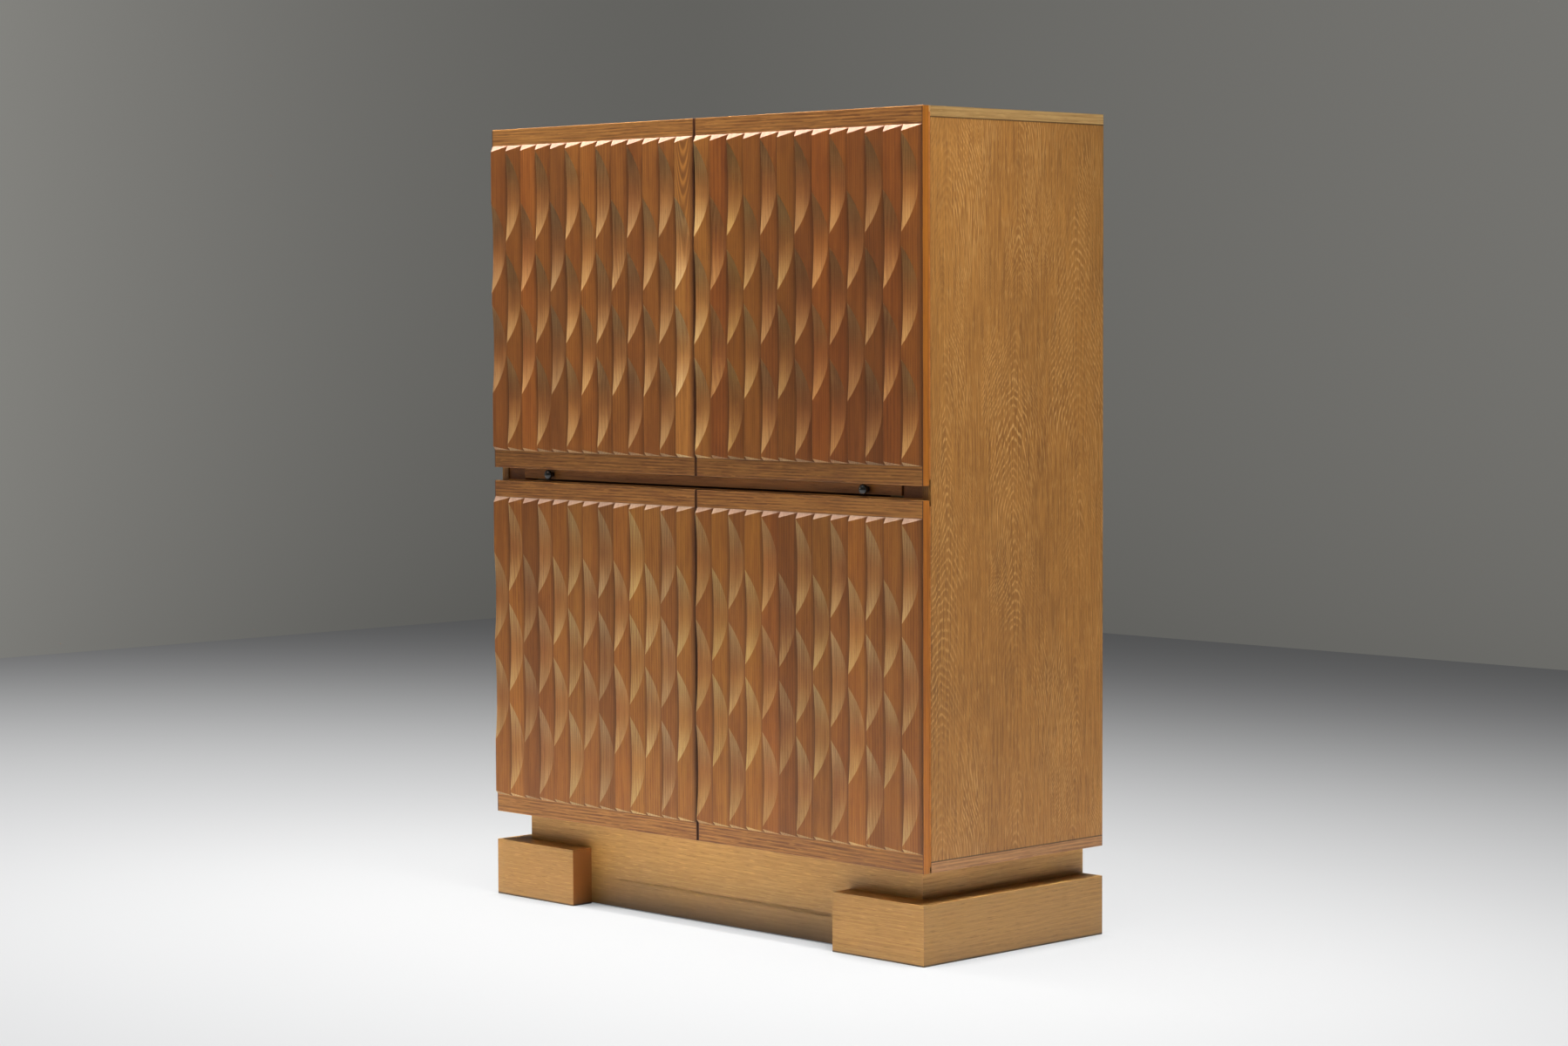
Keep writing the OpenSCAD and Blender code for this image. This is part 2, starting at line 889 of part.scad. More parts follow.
door_hand(false) door_hinge_plate(false);  // door_lower_right_hinge_plate
door_hand(false) door_screws(false);  // door_lower_right_hinge_screws
door_hand(false) door_strike(false);  // door_lower_right_strike
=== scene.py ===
"""Looks, light and camera for the bar cabinet with carved oak doors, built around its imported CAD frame.

The order is: colours and shader graphs, the CAD nodes' finishes, the carved staves, the knobs, the room, the
lamps, and the camera. All lengths are in metres, in the row's own frame.
"""
import json
import math
import random

import bmesh
import bpy
from mathutils import Matrix, Vector

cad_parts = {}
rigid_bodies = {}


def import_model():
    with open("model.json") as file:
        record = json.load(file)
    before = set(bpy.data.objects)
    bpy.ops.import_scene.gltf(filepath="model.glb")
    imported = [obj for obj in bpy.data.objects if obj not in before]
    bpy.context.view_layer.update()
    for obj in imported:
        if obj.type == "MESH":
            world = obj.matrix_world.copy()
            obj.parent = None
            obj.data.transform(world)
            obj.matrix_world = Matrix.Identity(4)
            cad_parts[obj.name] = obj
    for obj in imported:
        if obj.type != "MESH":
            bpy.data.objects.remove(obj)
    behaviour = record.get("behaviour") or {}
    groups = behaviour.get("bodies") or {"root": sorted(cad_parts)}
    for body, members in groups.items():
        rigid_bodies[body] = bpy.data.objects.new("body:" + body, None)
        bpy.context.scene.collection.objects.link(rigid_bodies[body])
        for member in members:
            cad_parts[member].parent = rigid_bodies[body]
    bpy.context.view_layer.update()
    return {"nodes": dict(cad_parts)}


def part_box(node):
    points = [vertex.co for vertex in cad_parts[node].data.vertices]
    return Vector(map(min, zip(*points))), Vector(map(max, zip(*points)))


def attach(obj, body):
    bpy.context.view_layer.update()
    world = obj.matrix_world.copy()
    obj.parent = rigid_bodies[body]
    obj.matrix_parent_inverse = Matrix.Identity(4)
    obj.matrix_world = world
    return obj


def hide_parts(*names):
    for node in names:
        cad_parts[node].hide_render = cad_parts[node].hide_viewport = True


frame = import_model()
nodes = frame["nodes"]

MM = 0.001
DOORS = ("door_upper_left", "door_upper_right", "door_lower_left", "door_lower_right")


# Colours and shader graphs

def srgb(red, green, blue):
    """A colour given in 0 to 255 steps, as the linear colour that a shader takes."""
    def linear(step):
        value = step / 255
        return value / 12.92 if value <= 0.04045 else ((value + 0.055) / 1.055) ** 2.4
    return (linear(red), linear(green), linear(blue), 1.0)


def scaled(colour, factor):
    """A colour made lighter or darker, at most white."""
    return tuple(min(1.0, c * factor) for c in colour[:3]) + (1.0,)


def tinted(colour, tint):
    """A colour with each of its parts multiplied by the tint's, at most white."""
    return tuple(min(1.0, c * t) for c, t in zip(colour, tint)) + (1.0,)


class Graph:
    """One material and short ways to add its nodes."""

    def __init__(self, name):
        self.material = bpy.data.materials.new(name)
        self.material.use_nodes = True
        self.tree = self.material.node_tree
        self.tree.nodes.clear()
        self.shader = self.add("ShaderNodeBsdfPrincipled")
        output = self.add("ShaderNodeOutputMaterial")
        self.tree.links.new(self.shader.outputs["BSDF"], output.inputs["Surface"])

    def add(self, kind, **settings):
        node = self.tree.nodes.new(kind)
        for key, value in settings.items():
            setattr(node, key, value)
        return node

    def put(self, socket, value):
        if isinstance(value, bpy.types.NodeSocket):
            self.tree.links.new(value, socket)
        else:
            socket.default_value = value

    def math(self, operation, *values, clamp=False):
        node = self.add("ShaderNodeMath", operation=operation, use_clamp=clamp)
        for socket, value in zip(node.inputs, values):
            self.put(socket, value)
        return node.outputs[0]

    def plus(self, total, *values):
        for value in values:
            total = self.math("ADD", total, value)
        return total

    def minus(self, first, second):
        return self.math("SUBTRACT", first, second)

    def times(self, product, *values):
        for value in values:
            product = self.math("MULTIPLY", product, value)
        return product

    def vector(self, operation, *values):
        node = self.add("ShaderNodeVectorMath", operation=operation)
        sockets = [node.inputs[0], node.inputs["Scale"]] if operation == "SCALE" else node.inputs
        for socket, value in zip(sockets, values):
            self.put(socket, value)
        return node.outputs["Value" if operation == "DOT_PRODUCT" else "Vector"]

    def split(self, vector):
        node = self.add("ShaderNodeSeparateXYZ")
        self.put(node.inputs[0], vector)
        return node.outputs

    def join(self, *parts):
        node = self.add("ShaderNodeCombineXYZ")
        for socket, part in zip(node.inputs, parts):
            self.put(socket, part)
        return node.outputs[0]

    def noise(self, vector, cells, detail=2.0, roughness=0.5):
        """Noise from 0 to 1, with so many cells in a metre along each axis."""
        node = self.add("ShaderNodeTexNoise")
        self.put(node.inputs["Vector"], self.vector("MULTIPLY", vector, cells))
        node.inputs["Scale"].default_value = 1.0
        node.inputs["Detail"].default_value = detail
        node.inputs["Roughness"].default_value = roughness
        return node.outputs["Fac"]

    def ramp(self, value, low, high, bottom=0.0, top=1.0):
        """A smooth rise from bottom, where value is low, to top, where it is high."""
        node = self.add("ShaderNodeMapRange", interpolation_type="SMOOTHSTEP")
        for key, part in (("Value", value), ("From Min", low), ("From Max", high), ("To Min", bottom),
                          ("To Max", top)):
            self.put(node.inputs[key], part)
        return node.outputs[0]

    def mix(self, factor, first, second, blend="MIX"):
        node = self.add("ShaderNodeMix", data_type="RGBA", blend_type=blend)
        self.put(node.inputs[0], factor)
        self.put(node.inputs[6], first)
        self.put(node.inputs[7], second)
        return node.outputs[2]

    def mix_vectors(self, factor, first, second):
        node = self.add("ShaderNodeMix", data_type="VECTOR")
        self.put(node.inputs[0], factor)
        self.put(node.inputs[4], first)
        self.put(node.inputs[5], second)
        return node.outputs[1]

    def attribute(self, name):
        return self.add("ShaderNodeAttribute", attribute_name=name)

    def bump(self, height, strength, distance):
        """Gives the material a relief."""
        node = self.add("ShaderNodeBump")
        self.put(node.inputs["Height"], height)
        node.inputs["Strength"].default_value = strength
        node.inputs["Distance"].default_value = distance
        self.put(self.shader.inputs["Normal"], node.outputs[0])


# Oak: how many cells of noise a metre holds, as (along the grain, across it, into the board)
DRIFT_CELLS = (1.6, 7, 7)
CROWD_CELLS = (0.9, 22, 22)
FIBRE_CELLS = (16, 640, 640)
PORE_CELLS = (42, 900, 900)
FLECK_CELLS = (34, 420, 420)
PATCH_CELLS = (1.1, 4.5, 4.5)
STAVE_PATCH_CELLS = (6, 24, 24)
SPECK_CELLS = (1500, 1500, 1500)
VENEER_CROWD_CELLS = (7, 4, 4)
VENEER_RIPPLE_CELLS = (16, 70, 70)
VENEER_FADE_CELLS = (2.2, 6, 6)
LINE_DASH_CELLS = (30, 340, 340)
LINE_FADE_CELLS = (4, 13, 13)
FLECK_SHIFT = (3.1, 1.7, 0.4)  # keeps the flecks' noise apart from the others

# Where a noise starts to show and shows in full. For faces: how squarely they lie across the grain, or to
# the front, where they start to count as such and where they do in full
STREAK_RAMP = (0.34, 0.68)
PORE_RAMP = (0.56, 0.70)
FLECK_RAMP = (0.60, 0.70)
SPECK_RAMP = (0.35, 0.70)
DASH_RAMP = (0.38, 0.58)
FADE_RAMP = (0.40, 0.64)
END_RAMP, FRONT_RAMP = (0.80, 0.86), (0.60, 0.75)
BAND_FADED, LINE_FADED = 0.10, 0.12  # what is left of a veneer's bands and lines where they fade

# Where in a ring, from 0 to 1, its dark band and the band's pale edge rise and fall again
BAND_RISE, BAND_FALL = (0.0, 0.34), (1.0, 0.5)
RIM_RISE, RIM_FALL = (0.50, 0.74), (1.0, 0.80)
PORE_IN_BAND, PORE_BESIDE = 0.75, 0.25
CROWD_TURNS = 1.7           # how many rings the crowding shifts, in solid wood
VENEER_CROWD_TURNS = 3.2    # and in veneer
VENEER_RIPPLE_TURNS = 1.3

VENEER_START = 0.246        # the leaves are counted from this far below 0, across the grain
VENEER_MIDDLE = (0.4, 0.2)  # the arches' middle in its leaf: its least share of the width, and the most added
VENEER_SHUFFLE = 0.618      # gives each leaf another middle
VENEER_COURSE = (2.4, 7.3)  # how fast the arches change along a leaf, and from leaf to leaf
VENEER_SWAY = 0.07          # how far their middle sways
VENEER_WIDTHS = (0.7, 1.3)  # how much they are squeezed and widened
VENEER_TIP = 0.00004        # how round their tips are, as a radius squared
VENEER_BEND = 5             # how much steeper their flanks get outwards
VENEER_STEEP = 2.0          # how steep they are, against the slope along the grain
VENEER_STEP = 0.0231        # how far the rings shift from one leaf to the next
ARCH_BEND = 0.045           # how strongly a figured stave's rings bend towards its edges
ARCH_LEAST = 0.00001        # a stave is figured where its arch is deeper than this
ARCH_BOLD = (0.002, 0.014)  # how deep the arch is where its rings start to stand out, and where they do fully

# What cut a stave's face, kept with each face: nothing (0), a scoop from its middle (along the grain) to
# its ends (across it), or the top bevel
CUT_ALONG, CUT_ACROSS, CUT_BEVEL = 0.5, 1.0, 2.0
CUT_RAMP, BEVEL_RAMP = (0.2, 0.3), (1.2, 1.7)
BARE_AND_SHEEN_ALONG = (1.12, 1.26, 1.75, 1.0)    # what the cut does to the wood's colour: paler freshly cut wood, whitened by a painted sheen most towards the scoops' ends
BARE_AND_SHEEN_ACROSS = (1.42, 2.36, 5.40, 1.0)
# the top bevels' colour: pale freshly cut wood, greyed towards white as a painted highlight where the overhead light
# catches them
BEVEL_PALE_AND_HIGHLIGHT = (0.200, 0.124, 0.100, 1.0)
STAINING_AND_SHADE_FROM = 0.74                        # the share of a stave's width where the painted shade, with some staining, along its low edge starts

# Colours as shares of the wood's light or dark one
FLECK_PALE = 1.25
FILLED_TINT = (1.6, 2.05, 3.4)
PORE_DARK = 0.38
FIGURE_DARK = 0.55
STAINING_AND_SHADE_DARK = 0.5
END_LIGHT, END_DARK = 0.62, 0.42
DARKENED_LIGHT, DARKENED_DARK = 1.2, 0.7
GLUE_DARK = 0.25
FLOOR_DARK, FLOOR_LINE_DARK = 0.3, 0.06

# How strongly each of these shows, from 0 to 1
FIGURE_SHARE, BEVEL_SHARE, STAINING_AND_SHADE_SHARE, END_SHARE = 0.7, 0.8, 0.75, 0.85
GLUE_SHARE, FLOOR_LINE_SHARE = 0.85, 0.9
FIBRE_SHARE = 0.7

ROUGH_BASE, ROUGH_FIBRE, ROUGH_PORE = -0.06, 0.12, 0.18  # what each adds to a wood's roughness
RELIEF_FIBRE, RELIEF_STRENGTH, RELIEF_DEPTH = 0.35, 0.35, 0.25 * MM


def ordered(graph, place, axes):
    """The coordinates as (along the grain, across it, into the board)."""
    parts = graph.split(place)
    return graph.join(*(parts["xyz".index(a)] for a in axes))


def veneer_depth(g, along, across, leaf, slope):
    """How deep in the wood a point of arched veneer lies. Each leaf has its own arches."""
    spread = g.math("DIVIDE", g.plus(across, VENEER_START), leaf * MM)
    number = g.math("FLOOR", spread)
    least, added = VENEER_MIDDLE
    centre = g.plus(g.times(g.math("FRACT", g.times(number, VENEER_SHUFFLE)), added), least)
    local = g.times(g.minus(g.math("FRACT", spread), centre), leaf * MM)
    pace, apart = VENEER_COURSE
    course = g.join(g.times(along, pace), g.times(number, apart), 0.5)
    sway = g.times(g.minus(g.noise(course, (1, 1, 1), 1.0), 0.5), VENEER_SWAY)
    widen = g.ramp(g.noise(course, (1.7, 1, 3), 1.0), 0.3, 0.7, *VENEER_WIDTHS)
    local = g.times(g.minus(local, sway), widen)
    square = g.times(local, local)
    crown = g.math("SQRT", g.plus(square, VENEER_TIP))
    arches = g.times(g.plus(crown, g.times(square, VENEER_BEND)), VENEER_STEEP * slope)
    return g.plus(arches, g.plus(g.times(along, slope), g.times(number, VENEER_STEP)))


def stave_depth(g, grain, arch):
    """How deep in the wood a point of a stave lies: on straight rings, or on arched ones."""
    straight = g.vector("DOT_PRODUCT", grain, g.attribute("ring_turn").outputs["Vector"])
    off = g.minus(g.attribute("side").outputs["Fac"], 0.5)
    valley = g.minus(arch, g.times(off, off, ARCH_BEND))
    arched = g.math("GREATER_THAN", arch, ARCH_LEAST)
    return g.plus(g.times(straight, g.minus(1.0, arched)), g.times(valley, arched))


def stave_colour(g, colour, dark, band, streak, arch):
    """A stave's own tone, the paler freshly cut wood of its cuts with a painted sheen, its top bevels' pale wood
    with a painted highlight, and painted shade with some staining along its low edge.
    """
    bold = g.times(band, g.ramp(arch, *ARCH_BOLD, 0.0, FIGURE_SHARE))
    colour = g.mix(bold, colour, scaled(dark, FIGURE_DARK))
    colour = g.mix(1.0, colour, g.attribute("tone").outputs["Color"], "MULTIPLY")
    carved = g.attribute("carved").outputs["Fac"]
    # the cut faces: paler freshly cut wood, whitened by a painted sheen most towards the scoops' ends and on the
    # bottom bevels
    bare_and_sheen = g.mix(g.ramp(carved, CUT_ALONG, CUT_ACROSS), BARE_AND_SHEEN_ALONG, BARE_AND_SHEEN_ACROSS)
    colour = g.mix(g.ramp(carved, *CUT_RAMP), colour, g.mix(1.0, colour, bare_and_sheen, "MULTIPLY"))
    # the top bevels: pale freshly cut wood with a painted highlight
    pale = g.mix(streak, BEVEL_PALE_AND_HIGHLIGHT, scaled(BEVEL_PALE_AND_HIGHLIGHT, 0.8))
    colour = g.mix(g.ramp(carved, *BEVEL_RAMP, 0.0, BEVEL_SHARE), colour, pale)
    # painted shade along the low edge, which the next stave's ridge shades, with some staining gathered there
    staining_and_shade = g.ramp(g.attribute("side").outputs["Fac"], STAINING_AND_SHADE_FROM, 1.0, 0.0, STAINING_AND_SHADE_SHARE)
    return g.mix(staining_and_shade, colour, scaled(dark, STAINING_AND_SHADE_DARK))


def wood(name, axes, light, dark, rings=0.5, ring_gap=6.0, tilt=0.2, slope=0.0, wander=6.0, leaf=None,
         streaks=0.6, pores=0.5, flecks=0.2, patches=0.25, roughness=0.42, ends="grain", staves=False,
         darkened=None, fine=130, lines=0.0, joints=(), floor_shade=None, end_tint=(1.0, 1.0, 1.0)):
    """Oak. axes names the grain's own directions: along, across and into the board.

    light and dark are the colours between the rings and in them.
    ring_gap (mm) is the distance of two rings, wander (mm) how far they stray, tilt how they lean into the
    board, and slope how they climb along it.
    leaf is the width (mm) of a veneer leaf with an arched figure; without it the rings run straight.
    rings, streaks, pores, flecks, patches and lines are strengths from 0 to 1. lines are the pale edges of
    the rings, broken into dashes. fine is how many streaks lie side by side in a metre.
    ends is how a face across the grain looks: "grain" for open ends, or the axes of an edge band. end_tint
    colours the open ends.
    staves reads each stave's own wood from the attributes of its mesh.
    stained is (reach, colour): the colour of faces to the front or back, and of all faces nearer to x = 0
    than reach metres, which paints shade on the lippings in the doors' meeting gap.
    joints are heights where a dark glue line shows. floor_shade is (reach, strength) of the painted shade
    just above the floor, in place of the contact shadow there, down to a thin painted dark line at its foot.
    """
    g = Graph(name)
    coords = g.add("ShaderNodeTexCoord")
    place = coords.outputs["Object"]
    facing = g.split(coords.outputs["Normal"])
    end_face = g.ramp(g.math("ABSOLUTE", facing["xyz".index(axes[0])]), *END_RAMP)
    if staves:
        place = g.vector("ADD", place, g.attribute("grain_shift").outputs["Vector"])
    grain = ordered(g, place, axes)
    if ends != "grain":
        grain = g.mix_vectors(end_face, grain, ordered(g, place, ends))
    along, across, into = g.split(grain)

    # The rings, seen as bands, with a slow wander along the board
    drift = g.times(g.minus(g.noise(grain, DRIFT_CELLS, 2.0, 0.55), 0.5), wander * MM * 2)
    arch = g.attribute("arch").outputs["Fac"] if staves else None
    if leaf:
        depth = g.plus(veneer_depth(g, along, across, leaf, slope), drift)
        crowd = g.plus(g.times(g.noise(grain, VENEER_CROWD_CELLS), VENEER_CROWD_TURNS),
                       g.times(g.noise(grain, VENEER_RIPPLE_CELLS), VENEER_RIPPLE_TURNS))
    else:
        if staves:
            depth = g.plus(stave_depth(g, grain, arch), drift)
        else:
            depth = g.plus(across, g.times(into, tilt), drift, g.times(along, slope))
        crowd = g.times(g.noise(grain, CROWD_CELLS), CROWD_TURNS)
    turn = g.math("FRACT", g.plus(g.math("DIVIDE", depth, ring_gap * MM), crowd))
    band = g.times(g.ramp(turn, *BAND_RISE), g.ramp(turn, *BAND_FALL))
    if leaf:
        band = g.times(band, g.ramp(g.noise(grain, VENEER_FADE_CELLS), *FADE_RAMP, BAND_FADED, 1.0))

    # Streaks, fibres, pores and light flecks, all long and thin along the grain
    streak = g.ramp(g.noise(grain, (5 + fine / 60, fine, fine), 3.0, 0.6), *STREAK_RAMP)
    fibre = g.noise(grain, FIBRE_CELLS, 2.0, 0.6)
    pore = g.ramp(g.noise(grain, PORE_CELLS, 1.0), *PORE_RAMP)
    pore = g.times(pore, g.plus(g.times(band, PORE_IN_BAND), PORE_BESIDE))
    fleck = g.ramp(g.noise(g.vector("ADD", grain, FLECK_SHIFT), FLECK_CELLS, 1.0), *FLECK_RAMP)
    patch = g.noise(grain, STAVE_PATCH_CELLS if staves else PATCH_CELLS)

    amount = g.plus(g.times(band, rings), g.times(streak, streaks),
                    g.times(g.minus(fibre, 0.5), FIBRE_SHARE), g.times(g.minus(patch, 0.5), patches * 2))
    amount = g.math("DIVIDE", amount, rings + streaks, clamp=True)
    colour = g.mix(amount, light, dark)
    filled = tinted(light, FILLED_TINT)
    colour = g.mix(g.times(fleck, flecks), colour, filled if lines else scaled(light, FLECK_PALE))
    if lines:
        dash = g.ramp(g.noise(grain, LINE_DASH_CELLS, 1.0), *DASH_RAMP)
        faded = g.ramp(g.noise(grain, LINE_FADE_CELLS), *FADE_RAMP, LINE_FADED, 1.0)
        rim = g.times(g.ramp(turn, *RIM_RISE), g.ramp(turn, *RIM_FALL), dash, faded)
        colour = g.mix(g.times(rim, lines), colour, filled)
    if staves:
        colour = stave_colour(g, colour, dark, band, streak, arch)
    colour = g.mix(g.times(pore, pores), colour, scaled(dark, PORE_DARK))
    if ends == "grain":
        open_end = g.mix(g.ramp(g.noise(place, SPECK_CELLS), *SPECK_RAMP),
                         scaled(tinted(light, end_tint), END_LIGHT), scaled(tinted(dark, end_tint), END_DARK))
        colour = g.mix(g.times(end_face, END_SHARE), colour, open_end)
    # painted shade on the lippings' faces in the doors' meeting gap near x = 0, and the same darker colour on all
    # front and back faces
    if darkened:
        reach, darkened_colour = darkened
        frontal = g.ramp(g.math("ABSOLUTE", facing[1]), *FRONT_RAMP)
        inner = g.math("LESS_THAN", g.math("ABSOLUTE", g.split(place)[0]), reach)
        shade = g.mix(amount, scaled(darkened_colour, DARKENED_LIGHT), scaled(darkened_colour, DARKENED_DARK))
        colour = g.mix(g.math("MAXIMUM", frontal, inner), colour, shade)
    height = g.split(coords.outputs["Object"])[2]
    for joint in joints:
        gap = g.math("ABSOLUTE", g.minus(height, joint))
        colour = g.mix(g.ramp(gap, 3.0 * MM, 1.6 * MM, 0.0, GLUE_SHARE), colour, scaled(dark, GLUE_DARK))
    # painted shade just above the floor in place of the contact shadow, and a thin painted dark line at the very
    # bottom
    if floor_shade:
        reach, strength = floor_shade
        colour = g.mix(g.ramp(height, reach, 0.0, 0.0, strength), colour, scaled(dark, FLOOR_DARK))
        line = g.ramp(height, 4.0 * MM, 1.5 * MM, 0.0, FLOOR_LINE_SHARE)
        colour = g.mix(line, colour, scaled(dark, FLOOR_LINE_DARK))
    g.put(g.shader.inputs["Base Color"], colour)

    rough = g.plus(roughness + ROUGH_BASE, g.times(fibre, ROUGH_FIBRE), g.times(pore, ROUGH_PORE))
    g.put(g.shader.inputs["Roughness"], rough)
    g.bump(g.minus(g.times(fibre, RELIEF_FIBRE), pore), RELIEF_STRENGTH, RELIEF_DEPTH)
    return g.material


METAL_CLOUD_CELLS, METAL_GRIT_CELLS = (35, 35, 35), (900, 900, 900)
PLASTIC_CLOUD_CELLS, PLASTIC_GRIT_CELLS = (60, 60, 60), (500, 500, 500)


def metal(name, colour, roughness, metallic):
    """Finely grained metal whose colour and gloss vary in soft clouds."""
    g = Graph(name)
    place = g.add("ShaderNodeTexCoord").outputs["Object"]
    cloud = g.noise(place, METAL_CLOUD_CELLS, 3.0, 0.6)
    shade = g.mix(g.ramp(cloud, 0.3, 0.7), scaled(colour, 0.8), scaled(colour, 1.15))
    g.put(g.shader.inputs["Base Color"], shade)
    g.shader.inputs["Metallic"].default_value = metallic
    g.put(g.shader.inputs["Roughness"], g.plus(roughness, g.times(cloud, 0.14)))
    g.bump(g.noise(place, METAL_GRIT_CELLS), 0.12, 0.1 * MM)
    return g.material


def plastic(name, colour, roughness, coat=0.0):
    """Plastic or lacquer, with a clear coat of the given weight."""
    g = Graph(name)
    place = g.add("ShaderNodeTexCoord").outputs["Object"]
    cloud = g.noise(place, PLASTIC_CLOUD_CELLS)
    g.put(g.shader.inputs["Base Color"], g.mix(cloud, scaled(colour, 0.7), scaled(colour, 1.5)))
    g.put(g.shader.inputs["Roughness"], g.plus(roughness, g.times(cloud, 0.08)))
    g.shader.inputs["Coat Weight"].default_value = coat
    g.shader.inputs["Coat Roughness"].default_value = 0.06
    g.bump(g.noise(place, PLASTIC_GRIT_CELLS, 1.0), 0.05, 0.1 * MM)
    return g.material


GOLD_LIGHT, GOLD_DARK = srgb(146, 101, 46), srgb(110, 72, 29)
# the plinth's oak is lighter than the feet's: partly the boards' own tone, partly painted light that lifts the
# plinth in its shaded recess under the doors
PLINTH_LIGHT, PLINTH_DARK = srgb(191, 149, 84), srgb(171, 128, 67)
FOOT_LIGHT, FOOT_DARK = srgb(172, 130, 70), srgb(153, 112, 56)
BROWN_LIGHT, BROWN_DARK = srgb(173, 120, 60), srgb(107, 63, 26)
STAVE_LIGHT, STAVE_DARK = srgb(141, 87, 41), srgb(115, 64, 26)

SIDE_LOW, SIDE_HIGH = (corner.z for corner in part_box("side_right"))
case_side = wood("oak_case_side", "zyx", GOLD_LIGHT, GOLD_DARK, rings=0.12, ring_gap=8.0, slope=0.5, wander=18,
                 leaf=165, streaks=0.6, pores=0.4, flecks=0.35, patches=0.5, fine=300, lines=0.7,
                 joints=(SIDE_LOW, SIDE_HIGH))
case_board = wood("oak_case_board", "xyz", srgb(208, 171, 113), srgb(178, 139, 84), rings=0.3, ring_gap=7,
                  streaks=0.4, pores=0.3, flecks=0.3, ends="yzx", fine=200)
case_bottom = wood("oak_case_bottom", "xyz", srgb(160, 118, 76), srgb(112, 76, 46), rings=0.4, ring_gap=6,
                   streaks=0.6, pores=0.4, flecks=0.4, ends="yzx", fine=260)
case_inner = wood("oak_inside", "xyz", GOLD_LIGHT, GOLD_DARK, ring_gap=9, streaks=0.4, pores=0.3)
core_wood = wood("oak_door_back", "zxy", GOLD_LIGHT, GOLD_DARK, rings=0.4, ring_gap=7.0, slope=0.5, wander=18,
                 leaf=165, streaks=0.4, pores=0.3, lines=0.3)
rail_wood = wood("oak_rail", "xzy", BROWN_LIGHT, BROWN_DARK, rings=0.4, ring_gap=6.0, tilt=0.6, wander=9,
                 streaks=0.6, pores=0.4, flecks=0.4, patches=0.5, fine=330)
divider_wood = wood("oak_divider", "xyz", BROWN_LIGHT, BROWN_DARK, ring_gap=7, fine=260)
edge_wood = wood("oak_edge", "zyx", srgb(164, 101, 25), srgb(137, 78, 16), rings=0.3, ring_gap=9, streaks=0.4,
                 pores=0.2, flecks=0.1, darkened=(0.3, srgb(84, 48, 28)))
stave_wood = wood("oak_stave", "zxy", STAVE_LIGHT, STAVE_DARK, rings=0.5, ring_gap=3.4, wander=5, streaks=0.5,
                  pores=0.3, flecks=0.15, patches=0.8, roughness=0.40, staves=True)
leaf_wood = wood("oak_leaf", "xyz", srgb(184, 122, 62), srgb(140, 86, 40), rings=0.6, ring_gap=5, fine=260)
guide_wood = wood("oak_guide", "yzx", srgb(172, 106, 50), srgb(124, 72, 34), rings=0.4, ring_gap=6)
BASE_FIGURE = dict(rings=0.25, ring_gap=9, tilt=0.4, wander=14, streaks=0.34, pores=0.45, flecks=0.5, patches=0.7,
                   fine=640)
PLINTH_SHADE, FOOT_SHADE = (0.11, 0.9), (0.04, 0.22)
FOOT_SIDE_SHADE = 0.67
plinth_x = wood("oak_plinth_front", "xzy", PLINTH_LIGHT, PLINTH_DARK, ends="yzx", floor_shade=PLINTH_SHADE,
                **BASE_FIGURE)
plinth_y = wood("oak_plinth_side", "yzx", PLINTH_LIGHT, PLINTH_DARK, ends="xzy", floor_shade=PLINTH_SHADE,
                **BASE_FIGURE)
foot_x = wood("oak_foot_front", "xzy", FOOT_LIGHT, FOOT_DARK, floor_shade=FOOT_SHADE, end_tint=(0.9, 0.5, 0.3),
              **BASE_FIGURE)
# painted shade: the feet's sides are a darker copy of their fronts' oak, as less light reaches them
foot_y = wood("oak_foot_side", "yzx", scaled(FOOT_LIGHT, FOOT_SIDE_SHADE), scaled(FOOT_DARK, FOOT_SIDE_SHADE),
              ends="xzy", floor_shade=FOOT_SHADE, **BASE_FIGURE)
plain_wood = wood("plain_wood", "yxz", srgb(214, 184, 140), srgb(176, 140, 94), rings=0.4, pores=0.15)
plywood = wood("plywood_back", "zxy", srgb(204, 166, 118), srgb(160, 118, 74), rings=0.5, ring_gap=12, leaf=270,
               slope=0.4, pores=0.2)
bronze = metal("dark_bronze", srgb(172, 110, 52), 0.42, 0.4)
steel = metal("zinc_steel", srgb(200, 200, 196), 0.28, 1.0)
gloss_black = plastic("gloss_black", srgb(12, 12, 13), 0.05, coat=0.8)
matt_black = plastic("matt_black", srgb(30, 30, 31), 0.5)


# CAD nodes that keep their own shape

WELD_REACH = 0.01 * MM
ARRIS_ANGLE = math.radians(40)


def dress(node, material, arris=0.0):
    """Gives a CAD node its material, and softens its sharp edges by arris millimetres."""
    piece = nodes[node]
    piece.data.materials.clear()
    piece.data.materials.append(material)
    if arris:
        weld = piece.modifiers.new("weld", "WELD")
        weld.merge_threshold = WELD_REACH
        bevel = piece.modifiers.new("arris", "BEVEL")
        bevel.width = arris * MM
        bevel.segments = 2
        bevel.limit_method = "ANGLE"
        bevel.angle_limit = ARRIS_ANGLE


